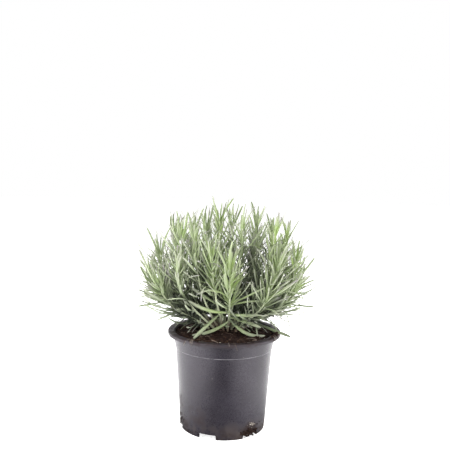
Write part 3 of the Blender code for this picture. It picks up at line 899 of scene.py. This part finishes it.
stemLook = {
    "footRadius": 1.7 * mm,
    "tipRadius": 1.05 * mm,
    "slimmer": 0.8,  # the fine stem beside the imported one, which has to be thick enough to hold leaves
    "steps": 8,
    "collar": 2.5 * mm,
    "fineSteps": 64,
    "turn": 0.37,
    "knot": 0.16,  # the swelling at each pair of leaves
    "knotReach": 1 / 90,
    "tipFiner": 0.35,
    "finerFrom": 0.8,
    "leaving": 0.36,
    "arriving": 0.42,
    "widestFlare": 1.35,
    "fullFlareReach": 65,
    "spacing": 6.2 * mm,
    "footSpread": 22 * mm,
    "settling": 80,
    "holeDepth": 20 * mm,
    "green": (0.66, 0.71, 0.49, 1),
    "woody": (0.19, 0.12, 0.085, 1),
}

leafLook = {
    "seed": 27,
    "pairs": 6,
    "crowding": 1.1,
    "firstPair": 0.18,
    "lastPair": 0.96,
    "width": 2.4 * mm,
    "lowWidth": 3.7 * mm,
    "length": 50 * mm,
    "tipLength": 39 * mm,
    "lengthSpare": (-11 * mm, 5 * mm),
    "footSpread": 76,
    "tipSpread": 32,
    "lowSpread": 4,
    "spreadSpare": 10,
    "leastSpread": 9,
    "youngFrom": 0.5,
    "lowUpTo": 0.48,
    "lowestAt": 0.18,
    "keel": 0.85 * mm,
    "setback": 0.3 * mm,
    "overhang": 1.01,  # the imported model's leaves beside the fine ones
    "clearance": 0.3 * mm,
    # Each bend as it is in the upper half, what is added at the foot, and how far off that it may be
    "curl": (0.15, 0.25, 0.6),
    "droop": (-0.5, 0.4, 0.6),
    "sway": (0.0, 0.0, 0.9),
    "rollSpare": 0.8,
    "widthSpare": (0.88, 1.1),
    "bushLimits": (105 * mm, 82 * mm, 267 * mm),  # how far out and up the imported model's leaves reach
    "extraMargin": 1.2 * mm,
    "tries": 14,
    "extraTries": 6,
    "tightLength": 0.28,  # how much shorter by the last try
    "looserSpread": 1.5,  # and how much further off its spread may be
    "swing": 0.5,  # about the stem, away from the middle of its face
    "leastSwing": 0.3,  # of that, at the first try
    "spreadFalls": 1.4,  # over 1, the spread stays wide for longer up the stem
    "between": 2,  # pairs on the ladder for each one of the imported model
    "thickness": 1.15 * mm,
    "thinnest": 0.55,  # of that, for the narrowest
    "freshness": (0, 0.4),  # of shoots other than those in freshShoots
    "freshAtFoot": 0.3,
    "freshSpare": (0.6, 1),
    "old": (0.345, 0.405, 0.25, 1),
    "young": (0.26, 0.36, 0.12, 1),
    "fresh": (0.3, 0.45, 0.05, 1),
    # the purple-grey painted at leaf tips for the look of backlight
    "tip": (0.27, 0.235, 0.27, 1),
    # the colour of the painted shade inside the bush
    "shaded": (0.017, 0.022, 0.013, 1),
    "felt": (0.52, 0.59, 0.385, 1),
    "dustUpTo": 128 * mm,
    # Painted shade: how many leaves stand outside a leaf, seen from the bush's foot, decides how dark it is
    # painted
    "bushFoot": (0, 0, 105 * mm),
    "crowdReach": 34 * mm,
    "crowdRange": (14, 66),  # from no painted shade to full painted shade, in hundredths of all leaves
    "darkFrom": (122 * mm, 170 * mm),  # the same crowding paints more shade on a low leaf than on a high one
    "darkBy": (1.06, 0.8),
}
spineSteps = 12
bladeRings = (0, 4, 9)
ringWidth = {0: 0.5, 4: 1.0, 9: 0.94, 12: 0.0}
ringKeel = {0: 0.5, 4: 1.0, 9: 0.85, 12: 0.0}


def stemFeet():  # the more a stem slants the further out it stands, clear of its neighbours
    feet = {}
    for name, (bearing, reach, height, _) in shoots.items():
        slant = math.atan2(reach * mm, height * mm - peatLook["edgeHeight"])
        feet[name] = compass(math.radians(bearing)) * stemLook["footSpread"] * slant
    for _ in range(stemLook["settling"]):
        for one, other in itertools.combinations(feet.values(), 2):
            apart = other - one
            push = apart.normalized() * max(0, stemLook["spacing"] - apart.length) / 2
            one -= push
            other += push
    for foot in feet.values():
        foot.z = peatTop(foot.x, foot.y)
    return feet


def stemLine(foot, bearing, reach, height, lean):  # it leaves upright, sweeps out and turns up again
    outward = compass(math.radians(bearing))
    lean = math.radians(lean)
    foot = foot + up * stemLook["collar"]
    tip = outward * reach * mm + up * height * mm
    length = (tip - foot).length
    flare = min(stemLook["widestFlare"], reach / stemLook["fullFlareReach"])
    leaving = (outward * flare + up).normalized() * length * stemLook["leaving"]
    arriving = (outward * math.sin(lean) + up * math.cos(lean)) * length * stemLook["arriving"]
    return interpolate_bezier(foot, foot + leaving, tip - arriving, tip, stemLook["fineSteps"] + 1)


def stemTube(shoot, points, radii, roundness):
    curve = bpy.data.curves.new(shoot.name, "CURVE")
    curve.dimensions = "3D"
    curve.bevel_depth = 1
    curve.bevel_resolution = roundness
    curve.use_fill_caps = True
    spline = curve.splines.new("POLY")
    spline.points.add(len(points) - 1)
    for point, spot, radius in zip(spline.points, points, radii):
        point.co = (*spot, 1)
        point.radius = radius
        point.tilt = stemLook["turn"] * shoot.number
    pick(added(shoot.name, curve))
    bpy.ops.object.convert(target="MESH")
    editAll()
    bpy.ops.mesh.remove_doubles(threshold=0.02 * mm)
    leaveEdit()
    return bpy.context.object


def treeOf(thing):
    thing.data.calc_loop_triangles()
    faces = [tuple(triangle.vertices) for triangle in thing.data.loop_triangles]
    return BVHTree.FromPolygons([vertex.co.copy() for vertex in thing.data.vertices], faces)


class Shoot:  # a stem's line, the tree of its faces and what grows on it
    def __init__(self, name, number, foot):
        self.name, self.number, self.foot, self.leaves = name, number, foot, []
        self.line = stemLine(foot, *shoots[name])
        self.end = foot - up * (stemLook["holeDepth"] - peatLook["gap"])
        steps, taper = stemLook["steps"], stemLook["tipRadius"] - stemLook["footRadius"]
        points = [self.end] + self.line[:: stemLook["fineSteps"] // steps]
        radii = [stemLook["footRadius"] + taper * max(0, i - 1) / steps for i in range(len(points))]
        guide = stemTube(self, points, radii, 0)
        self.tree = treeOf(guide)
        discard(guide)

    def place(self, share):
        at = min(stemLook["fineSteps"] - 1, int(share * stemLook["fineSteps"]))
        rest = share * stemLook["fineSteps"] - at
        before, after = self.line[at], self.line[at + 1]
        return before.lerp(after, rest), (after - before).normalized()

    def outward(self, root, along, pair, side, swing=0.0):  # square to one of the four faces of the stem
        across = along.cross(Vector((0, 1, 0)))
        _, normal, _, _ = self.tree.ray_cast(root, across)
        square = (normal - along * normal.dot(along)).normalized()
        square = Matrix.Rotation(math.pi * side + math.pi / 2 * pair, 3, along) @ square
        return Matrix.Rotation(swing, 3, along) @ square


# The ladder of leaf pairs has its rungs closer towards the tip.
def rungShare(rung):
    evenly = min(1, rung / leafLook["between"] / (leafLook["pairs"] - 1))
    return mixed(leafLook["firstPair"], leafLook["lastPair"], 1 - (1 - evenly) ** leafLook["crowding"])


def newLeaf(root, along, outward, habit, roll, width, share):
    length, spread, curl, droop, sway = habit
    heading = along * math.cos(spread) + outward * math.sin(spread)
    side = (outward * math.cos(spread) - along * math.sin(spread)).cross(heading).normalized()
    bend = along * curl + side * sway - up * droop
    spine = [root + heading * leafLook["setback"]]
    for step in range(spineSteps):
        turned = heading + bend * step / spineSteps
        spine.append(spine[-1] + turned.normalized() * length / spineSteps)
    return {"spine": spine, "edge": side, "roll": roll, "width": width, "share": share}


# A plain three-sided blade stands for a leaf where leaves and stems are kept clear of each other.
bladeCorners = [(ring, across, depth) for ring in bladeRings for across, depth in ((-1, 0), (0, -1), (1, 0))]
bladeCorners += [(spineSteps, 0, 0)]
bladeEnd = len(bladeCorners) - 1
bladeFaces = [(0, 2, 1), (bladeEnd - 3, bladeEnd - 2, bladeEnd), (bladeEnd - 2, bladeEnd - 1, bladeEnd)]
bladeFaces += [(bladeEnd - 1, bladeEnd - 3, bladeEnd)]
for low in range(0, bladeEnd - 3, 3):
    for i in range(3):
        j = (i + 1) % 3
        bladeFaces += [(low + i, low + j, low + 3 + j), (low + i, low + 3 + j, low + 3 + i)]


def bladePoints(leaf, margin):
    spine, side, roll, width = leaf["spine"], leaf["edge"], leaf["roll"], leaf["width"]
    placed = []
    for ring, across, depth in bladeCorners:
        before, after = spine[max(0, ring - 1)], spine[min(spineSteps, ring + 1)]
        tangent = (after - before).normalized()
        edge = (Matrix.Rotation(roll * ring / spineSteps, 3, tangent) @ side).normalized()
        upper = edge.cross(tangent).normalized()
        half = across * (width / 2 * ringWidth[ring] + margin)
        lift = depth * (leafLook["keel"] * ringKeel[ring] + margin) if depth else margin
        placed.append(spine[ring] + edge * half + upper * lift)
    return placed


def ballRound(points):
    centre = np.mean(points, axis=0)
    return centre, np.linalg.norm(np.asarray(points) - centre, axis=1).max()


class Neighbours:  # every leaf and stem so far, with a ball round each to find the near ones quickly
    def __init__(self):
        self.names, self.trees, self.balls = [], [], np.empty((0, 4))

    def add(self, name, tree, points):
        centre, radius = ballRound(points)
        self.names.append(name)
        self.trees.append(tree)
        self.balls = np.vstack([self.balls, [*centre, radius]])

    def near(self, points):
        centre, radius = ballRound(points)
        apart = np.linalg.norm(self.balls[:, :3] - centre, axis=1)
        return [(self.names[i], self.trees[i]) for i in np.flatnonzero(apart < self.balls[:, 3] + radius)]


def insideBush(leaf, margin):
    across, deep, high = (limit - margin for limit in leafLook["bushLimits"])
    return all(abs(x) < across and abs(y) < deep and z < high for x, y, z in leaf["spine"])


def risingInside(leaf, margin):  # only the arching leaves hang lower than their root
    return leaf["spine"][-1].z > leaf["spine"][0].z and insideBush(leaf, margin)


def touches(shoot, leaf, neighbours):  # how many leaves and stems it would run into
    fattened = bladePoints(leaf, leafLook["clearance"])
    whole = BVHTree.FromPolygons(fattened, bladeFaces)
    outer = [face for face in bladeFaces if all(bladeCorners[i][0] > 0 for i in face)]
    beyondRoot = BVHTree.FromPolygons(fattened, outer)
    near = neighbours.near(fattened)
    return sum(bool((beyondRoot if name == shoot.name else whole).overlap(tree)) for name, tree in near)


def addLeaf(shoot, leaf, neighbours):
    points = bladePoints(leaf, 0.0)
    shoot.leaves.append(leaf)
    neighbours.add(shoot.name, BVHTree.FromPolygons(points, bladeFaces), points)


def growArching(shoot, habit, neighbours):
    share, bearing, length, spread, *bends, roll = habit
    root, along = shoot.place(share)
    level = compass(math.radians(bearing))
    outward = (level - along * level.dot(along)).normalized()
    width = leafLook["lowWidth" if share < leafLook["lowUpTo"] else "width"]
    for attempt in range(leafLook["tries"]):
        draw = random.Random(f"{leafLook['seed']} {shoot.name} arching {attempt}")
        turn = Matrix.Rotation(draw.uniform(-0.04, 0.04) * attempt, 3, along)
        lift = math.radians(spread + draw.uniform(-2, 2) * attempt)
        leaf = newLeaf(root, along, turn @ outward, (length * mm, lift, *bends), roll, width, share)
        if insideBush(leaf, 0) and not touches(shoot, leaf, neighbours):
            addLeaf(shoot, leaf, neighbours)
            return


def leafHabit(draw, shootName, share, loosen):  # its length, spread and bends, its roll and its width
    young = max(0.0, (share - leafLook["youngFrom"]) / (1 - leafLook["youngFrom"]))
    low = max(0.0, (leafLook["lowUpTo"] - share) / (leafLook["lowUpTo"] - leafLook["lowestAt"]))
    length = mixed(leafLook["length"], leafLook["tipLength"], young)
    length += draw.uniform(*leafLook["lengthSpare"])
    spread = mixed(leafLook["footSpread"], leafLook["tipSpread"], share ** leafLook["spreadFalls"])
    spread += leafLook["lowSpread"] * low
    spread += leafLook["spreadSpare"] * draw.uniform(-1, 1) * (1 + leafLook["looserSpread"] * loosen)
    broader, wider = ownHabits.get(shootName, (1, 1))
    bends = []
    for bend, looser in (("curl", 0), ("droop", 1.2), ("sway", 0.6)):
        usual, lowMore, spare = leafLook[bend]
        bends.append(usual + lowMore * low + draw.uniform(-spare, spare) * (1 + looser * low))
    roll = draw.uniform(-leafLook["rollSpare"], leafLook["rollSpare"])
    width = mixed(leafLook["width"], leafLook["lowWidth"], low)
    width *= draw.uniform(*leafLook["widthSpare"]) * broader
    spread = math.radians(max(leafLook["leastSpread"], spread * wider))
    return (length * (1 - leafLook["tightLength"] * loosen), spread, *bends), roll, width


def swung(draw, loosen):
    return draw.uniform(-leafLook["swing"], leafLook["swing"]) * (leafLook["leastSwing"] + loosen)


def growLeaf(shoot, pair, side, neighbours):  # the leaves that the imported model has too
    share = rungShare(pair * leafLook["between"])
    if share < bareBelow.get(shoot.name, 0):
        return
    root, along = shoot.place(share)
    for attempt in range(leafLook["tries"]):
        draw = random.Random(f"{leafLook['seed']} {shoot.name} {pair} {side} {attempt}")
        loosen = attempt / leafLook["tries"]
        habit = leafHabit(draw, shoot.name, share, loosen)
        outward = shoot.outward(root, along, pair, side, swung(draw, loosen))
        leaf = newLeaf(root, along, outward, *habit, share)
        if risingInside(leaf, 0) and not touches(shoot, leaf, neighbours):
            addLeaf(shoot, leaf, neighbours)
            return


# How yellow-green a shoot is beside the plain grey-green ones.
freshShoots = {
    "right_tall": 1.0,
    "right_outer": 0.95,
    "right_wide": 0.8,
    "middle_back": 0.7,
    "front_right": 0.7,
    "front_left": 0.45,
}
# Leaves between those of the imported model, and what they are beside a full leaf there.
betweenLook = {
    "rungs": (-1, 9),  # of the ladder, below its first and up to its last
    "belowShare": 0.045,  # of the stem, from one rung to the next under the first
    "mostTouches": 3,
    "slimmer": 0.86,
    "shorter": (0.75, 1.05),
    "lowShorter": 0.42,  # how much shorter still at the foot of a shoot
    "lowCurlier": 0.9,
    "curls": (-1, 1.4),  # away from the stem or towards it
}


def growBetween(shoot, rung, side, neighbours):
    share = rungShare(max(0, rung)) + betweenLook["belowShare"] * min(0, rung)
    if share < bareBelow.get(shoot.name, 0):
        return
    root, along = shoot.place(share)
    low = max(0.0, 1 - share / leafLook["lowUpTo"])
    best, fewest = None, betweenLook["mostTouches"] + 1
    for attempt in range(leafLook["extraTries"]):
        draw = random.Random(f"between {shoot.name} {rung} {side} {attempt}")
        loosen = attempt / leafLook["extraTries"]
        (length, *bends), roll, width = leafHabit(draw, shoot.name, share, loosen)
        length *= draw.uniform(*betweenLook["shorter"]) * (1 - betweenLook["lowShorter"] * low)
        bends[1] += draw.choice(betweenLook["curls"]) * betweenLook["lowCurlier"] * low
        bends[3] += draw.uniform(-1, 1) * betweenLook["lowCurlier"] * low
        outward = shoot.outward(root, along, rung, side, swung(draw, loosen))
        width *= betweenLook["slimmer"]
        leaf = newLeaf(root, along, outward, (length, *bends), roll, width, share)
        fits = risingInside(leaf, leafLook["extraMargin"])
        crossed = touches(shoot, leaf, neighbours) if fits else fewest
        if crossed < fewest:
            best, fewest = leaf, crossed
        if not crossed:
            break
    if best:
        addLeaf(shoot, best, neighbours)


# Fine leaves that needn't keep clear of others. Lengths, widths, starts and lifts are in millimetres,
# spreads in degrees, swings in radians and shares in parts of the way up the stem.
fineLook = {
    "bud": {  # young ones in the angle between a leaf and the stem
        "rungs": (0, 10), "count": 3, "swing": (-0.9, 0.9), "spread": (16, 72), "length": (12, 28),
        "start": (0.5, 3), "curl": (-0.4, 0.6), "droop": (-1, 0.1), "sway": (-0.8, 0.8), "roll": 0.2,
        "width": (1.5, 2.1), "younger": 0.25,
    },
    "basal": {  # small shaded ones low in the bush
        "count": 11, "bareCount": 2, "shares": (0.04, 0.42), "spread": (25, 85), "length": (12, 27),
        "droop": (-1.2, 1.3), "sway": (0.2, 1.7), "eitherWay": True, "roll": 0.4, "width": (1.3, 2.2),
        "lift": 0.6,  # over the peat and the lip
    },
    "tip": {  # the brush of narrow young ones that closes a shoot, a pair at each share
        "shares": (0.965, 0.975, 0.985, 0.99, 0.996), "swing": (-0.5, 0.5), "spread": (6, 32),
        "length": (20, 36), "curl": (-0.1, 0.4), "sway": (-0.2, 0.2), "roll": 0.1, "width": (1.3, 1.9),
    },
    "wisp": {  # long thin ones in the upper half, with purple-grey painted at the end for the look of backlight
        "count": 12, "freshLess": 0.7, "shares": (0.55, 0.93), "spread": (14, 52), "length": (30, 52),
        "curl": (-0.9, 0.9), "droop": (-1.0, 0.5), "sway": (-1.1, 1.1), "roll": 0.3, "width": (1.2, 1.9),
        "tone": (0.55, 1),
    },
}


def drawn(draw, look, name):  # from its range, or 0 where it has none
    return draw.uniform(*look[name]) if name in look else 0


def overPot(point):  # how high a point is over the peat, or over the lip where it is further out
    reach = math.hypot(point.x, point.y)
    overPeat = reach < potLook["collarFoot"] - 6 * mm
    return point.z - (peatTop(point.x, point.y) if overPeat else potLook["height"])


def growFine(shoot, kind, draw, root, along, outward, share, shorter=1.0):
    look = fineLook[kind]
    spread = math.radians(draw.uniform(*look["spread"]))
    length = draw.uniform(*look["length"]) * mm * shorter
    root = root + along * drawn(draw, look, "start") * mm
    curl, droop = drawn(draw, look, "curl"), drawn(draw, look, "droop")
    way = draw.choice((-1, 1)) if "eitherWay" in look else 1
    habit = length, spread, curl, droop, way * draw.uniform(*look["sway"])
    leaf = newLeaf(root, along, outward, habit, look["roll"], draw.uniform(*look["width"]) * mm, share)
    if "tone" in look:
        leaf["tone"] = draw.uniform(*look["tone"])
    clear = "lift" not in look or min(map(overPot, leaf["spine"])) > look["lift"] * mm
    if insideBush(leaf, leafLook["extraMargin"]) and clear:
        shoot.leaves.append(leaf)


def growBuds(shoot, rung, side):
    share = rungShare(rung)
    if share < bareBelow.get(shoot.name, 0):
        return
    look = fineLook["bud"]
    root, along = shoot.place(share)
    for i in range(look["count"]):
        draw = random.Random(f"bud {shoot.name} {rung} {side} {i}")
        outward = shoot.outward(root, along, rung, side, draw.uniform(*look["swing"]))
        growFine(shoot, "bud", draw, root, along, outward, min(1, share + look["younger"]))


def growTip(shoot, number):
    look = fineLook["tip"]
    root, along = shoot.place(look["shares"][number])
    shorter = 1 - 0.4 * number / len(look["shares"])
    for side in (0, 1):
        draw = random.Random(f"tip {shoot.name} {number} {side}")
        outward = shoot.outward(root, along, number, side, draw.uniform(*look["swing"]))
        growFine(shoot, "tip", draw, root, along, outward, 1.0, shorter)


def growLoose(shoot, kind, number):  # anywhere round the stem
    draw = random.Random(f"{kind} {shoot.name} {number}")
    share = draw.uniform(*fineLook[kind]["shares"])
    root, along = shoot.place(share)
    outward = Matrix.Rotation(draw.uniform(0, math.tau), 3, along) @ along.orthogonal().normalized()
    growFine(shoot, kind, draw, root, along, outward, share)


# The one leaf that all the others are bent copies of: straight, two across, one long and one thick,
# with its edges rolled under, a groove along its upper face and a rib under it.
leafRings = (0.0, 0.06, 0.16, 0.3, 0.46, 0.62, 0.76, 0.87, 0.95)
leafWidths = (0.46, 0.54, 0.74, 0.9, 1.0, 1.0, 0.96, 0.86, 0.62)


def leafTemplate():
    deselectAll()
    bpy.ops.mesh.primitive_circle_add(vertices=6, radius=1 / math.cos(math.pi / 6), fill_type="NGON")
    leaf = named("leaf")
    editAll()
    bpy.ops.transform.resize(value=(1, 0.3, 1))
    selectWhere(leaf, lambda vertex: abs(vertex.co.x) < 0.1 and vertex.co.y > 0)
    bpy.ops.transform.translate(value=(0, -0.22, 0))
    bpy.ops.mesh.select_all(action="SELECT")
    bpy.ops.transform.resize(value=(leafWidths[0],) * 3, center_override=middle)
    for (before, narrow), (after, wide) in itertools.pairwise(zip(leafRings, leafWidths)):
        extrudeUp(after - before, wide / narrow, 0.5 + wide / narrow / 2)
    extrudeUp(1 - leafRings[-1])
    bpy.ops.mesh.merge(type="CENTER")
    faceOutwards()
    smooth(leaf)
    return leaf


# Shoots that stand in full light before the rest of the bush: their share of the painted shade and their
# range of tones
standingClear = {"shoots": ("front_left", "front_right"), "shade": 0.1, "tones": (0.42, 0.58)}


def shadeLeaves(plants):  # painted shade: how many leaves stand outside each one decides how dark it is painted
    leaves = [leaf for shoot in plants for leaf in shoot.leaves]
    every = np.array([[tuple(point) for point in leaf["spine"][::3]] for leaf in leaves])
    others = every.reshape(-1, 3)
    for leaf, places in zip(leaves, every):
        outward = places - leafLook["bushFoot"]
        outward /= np.linalg.norm(outward, axis=1)[:, None]
        apart = others[None, :, :] - places[:, None, :]
        distance = np.linalg.norm(apart, axis=2) + 0.1 * mm
        facing = np.einsum("ijk,ik->ij", apart, outward) / distance
        near = np.exp(-((distance / leafLook["crowdReach"]) ** 2))
        leaf["crowd"] = (np.clip(facing, 0, 1) * near).sum(axis=1)
    least, most = np.percentile([leaf["crowd"] for leaf in leaves], leafLook["crowdRange"])
    for leaf, places in zip(leaves, every):
        lowness = np.interp(places[:, 2], leafLook["darkFrom"], leafLook["darkBy"])
        leaf["depth"] = np.clip((leaf["crowd"] - least) / (most - least), 0, 1) * lowness
    for shoot in plants:
        for leaf in shoot.leaves:
            leaf["depth"] *= standingClear["shade"] if shoot.name in standingClear["shoots"] else 1


def bentLeaf(template, straight, leaf):
    spine = np.array(leaf["spine"])
    shares = np.linspace(0, 1, spineSteps + 1) * leafLook["overhang"]
    across, deep, along = straight.T
    centre = np.stack([np.interp(along, shares, spine[:, i]) for i in range(3)], axis=1)
    steps = np.gradient(spine, axis=0)
    tangent = np.stack([np.interp(along, shares, steps[:, i]) for i in range(3)], axis=1)
    tangent /= np.linalg.norm(tangent, axis=1)[:, None]
    side = np.array(leaf["edge"])
    side = side - tangent * (tangent @ side)[:, None]
    side /= np.linalg.norm(side, axis=1)[:, None]
    turn = (leaf["roll"] * along)[:, None]
    edge = side * np.cos(turn) - np.cross(side, tangent) * np.sin(turn)
    thick = leafLook["thickness"] * mixed(leafLook["thinnest"], 1, leaf["width"] / leafLook["lowWidth"])
    flat, raised = (across * leaf["width"] / 2)[:, None], (deep * thick)[:, None]
    copy = copyOf(template)
    movePoints(copy, centre + edge * flat + np.cross(edge, tangent) * raised)
    # the painted shade, spread along the leaf
    depth = np.interp(along, np.linspace(0, 1, len(leaf["depth"])), leaf["depth"])
    stamp(
        copy, leafAlong=along, leafAcross=np.abs(across), leafUnder=deep < -0.02, leafDepth=depth,
        leafAge=1 - leaf["share"], leafTone=leaf["tone"], leafFresh=leaf["fresh"],
    )
    return copy


def fineStem(shoot, material):
    line = shoot.line[::2]  # every other point of it is enough
    points = [shoot.end, shoot.foot] + line
    rungs = [rungShare(rung) for rung in range(betweenLook["rungs"][1] + 1)]
    radii = []
    for i in range(len(points)):
        share = max(0, i - 2) / (len(line) - 1)
        radius = mixed(stemLook["footRadius"], stemLook["tipRadius"], share) * stemLook["slimmer"]
        knot = max(0, 1 - min(abs(share - rung) for rung in rungs) / stemLook["knotReach"])
        finer = stemLook["tipFiner"] * max(0, share - stemLook["finerFrom"]) / (1 - stemLook["finerFrom"])
        radii.append(radius * (1 + stemLook["knot"] * knot) * (1 - finer))
    stem = stemTube(shoot, points, radii, 1)
    heights, low, high = pointsOf(stem)[:, 2], shoot.foot.z, shoot.line[-1].z
    age = 1 - np.clip((heights - low) / (high - low), 0, 1)
    stamp(stem, leafAge=age, leafTone=random.Random(shoot.name).random())
    putOn(stem, material)
    smooth(stem, 60)
    return stem


def makeLeafMaterial():
    material, tree, shader = newMaterial(
        "lavenderLeaf", Roughness=0.62, Specular_IOR_Level=0.35, Sheen_Weight=0.2, Sheen_Roughness=0.4,
        Sheen_Tint=(0.9, 1, 0.82, 1),
    )
    age, tone = reading(tree, "leafAge"), reading(tree, "leafTone")
    along, across = reading(tree, "leafAlong"), reading(tree, "leafAcross")
    unevenly = ranged(tree, tone, 0, 1, -0.3, 0.3)
    grown = calculate(tree, "ADD", ranged(tree, age, 0, 0.45), unevenly, clamp=True)
    fresh = calculate(tree, "MULTIPLY", reading(tree, "leafFresh"), ranged(tree, along, 0, 1, 1, 0.5))
    colour = blendColours(tree, grown, leafLook["young"], leafLook["old"])
    colour = blendColours(tree, fresh, colour, leafLook["fresh"])
    mottle = place(
        tree, "mottle", Colour=colour, Patch_Colour=leafLook["felt"],
        Patches_Per_Metre=140, Grain_Per_Metre=3000, Grain=0.16,
    )
    colour = blendColours(tree, ranged(tree, fresh, 0, 1, 0.3, 0.06), colour, mottle["Colour"])
    # Painted backlight: purple-grey towards the tip, for how thin tips look with the light behind them, more
    # for leaves of higher tone.
    backlitTipMask = ranged(tree, tone, 0.4, 0.66, 0.3, 1)
    backlitTipMask = calculate(tree, "MULTIPLY", ranged(tree, along, 0.35, 1), backlitTipMask)
    under = calculate(tree, "MULTIPLY", reading(tree, "leafUnder"), 0.4)
    rib = ranged(tree, across, 0, 0.22, 0.35, 0)
    rib = calculate(tree, "MULTIPLY", rib, ranged(tree, fresh, 0, 1, 1, 0.3))
    rootward = ranged(tree, along, 0, 0.22, 0.35, 0)
    # Painted shade: crowded leaves are painted towards the shaded colour, and each leaf's random tone
    # darkens it further where it is less shaded.
    depth = ranged(tree, reading(tree, "leafDepth"), 0, 1.04, 0, 0.98)
    shade = ranged(tree, tone, 0, 0.6, 0.6, 0)
    shade = calculate(tree, "MULTIPLY", shade, ranged(tree, depth, 0, 1, 1, 0))
    depth = calculate(tree, "ADD", depth, shade, clamp=True)
    for share, other in (
        (backlitTipMask, leafLook["tip"]),
        (under, leafLook["felt"]),
        (rib, leafLook["felt"]),
        (rootward, stemLook["green"]),
        (depth, leafLook["shaded"]),
    ):
        colour = blendColours(tree, share, colour, other)
    dusty = place(
        tree, "peatDust", Colour=colour, Dust_Colour=potLook["dust"],
        Clear_Height=leafLook["dustUpTo"], Most=0.35,
    )
    feed(tree, shader["Base Color"], dusty["Colour"])
    bumpInto(tree, shader, mottle["Grain"], 0.25, 0.12 * mm)
    return material


def makeStemMaterial():
    material, tree, shader = newMaterial(
        "lavenderStem", Roughness=0.7, Specular_IOR_Level=0.3, Sheen_Weight=0.2, Sheen_Roughness=0.5
    )
    unevenly = ranged(tree, reading(tree, "leafTone"), 0, 1, -0.08, 0.08)
    woody = ranged(tree, calculate(tree, "ADD", reading(tree, "leafAge"), unevenly), 0.82, 0.97)
    colour = blendColours(tree, woody, stemLook["green"], stemLook["woody"])
    mottle = place(
        tree, "mottle", Colour=colour, Patch_Colour=leafLook["felt"],
        Patches_Per_Metre=260, Grain_Per_Metre=2600, Grain=0.35,
    )
    feed(tree, shader["Base Color"], blendColours(tree, 0.4, colour, mottle["Colour"]))
    bumpInto(tree, shader, mottle["Grain"], 0.4, 0.2 * mm)
    return material


def growPlant():
    feet = stemFeet()
    plants = [Shoot(name, i, feet[name]) for i, name in enumerate(shoots)]
    neighbours = Neighbours()
    for name in ("pot", "peat"):
        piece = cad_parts[name]
        neighbours.add(name, treeOf(piece), pointsOf(piece))
    for shoot in plants:
        neighbours.add(shoot.name, shoot.tree, [tuple(point) for point in shoot.line + [shoot.foot]])
    byName = {shoot.name: shoot for shoot in plants}
    for name, *habit in archingLeaves:
        growArching(byName[name], habit, neighbours)
    for pair, shoot, side in itertools.product(range(leafLook["pairs"]), plants, (0, 1)):
        growLeaf(shoot, pair, side, neighbours)
    print("leaves as in the packed model:", sum(len(shoot.leaves) for shoot in plants))
    first, last = betweenLook["rungs"]
    for rung, shoot, side in itertools.product(range(last, first - 1, -1), plants, (0, 1)):
        if rung < 0 or rung % leafLook["between"]:
            growBetween(shoot, rung, side, neighbours)
    print("with the leaves between them:", sum(len(shoot.leaves) for shoot in plants))
    basal, wisp = fineLook["basal"], fineLook["wisp"]
    for shoot in plants:
        for rung, side in itertools.product(range(*fineLook["bud"]["rungs"]), (0, 1)):
            growBuds(shoot, rung, side)
        for number in range(basal["bareCount" if shoot.name in bareFeet else "count"]):
            growLoose(shoot, "basal", number)
        for number in range(len(fineLook["tip"]["shares"])):
            growTip(shoot, number)
        fewer = 1 - wisp["freshLess"] * freshShoots.get(shoot.name, 0)
        for number in range(round(wisp["count"] * fewer)):
            growLoose(shoot, "wisp", number)
    print("with buds and tips:", sum(len(shoot.leaves) for shoot in plants))
    return plants


def makePlant():
    plants = growPlant()
    shadeLeaves(plants)
    template = leafTemplate()
    straight = pointsOf(template)
    putOn(template, makeLeafMaterial())
    stemMaterial = makeStemMaterial()
    for shoot in plants:
        draw = random.Random("tones " + shoot.name)
        stem = fineStem(shoot, stemMaterial)
        freshness = freshShoots.get(shoot.name, draw.uniform(*leafLook["freshness"]))
        for leaf in shoot.leaves:
            rising = min(1, leafLook["freshAtFoot"] + leaf["share"])
            leaf["fresh"] = freshness * rising * draw.uniform(*leafLook["freshSpare"])
            tones = standingClear["tones"] if shoot.name in standingClear["shoots"] else (0, 1)
            leaf.setdefault("tone", draw.uniform(*tones))
        leaves = [bentLeaf(template, straight, leaf) for leaf in shoot.leaves]
        piece = joined([stem] + leaves, "leafy_" + shoot.name)
        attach(piece, "root")
        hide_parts(shoot.name)
    discard(template)


makePlant()
print("the shoots are in leaf")
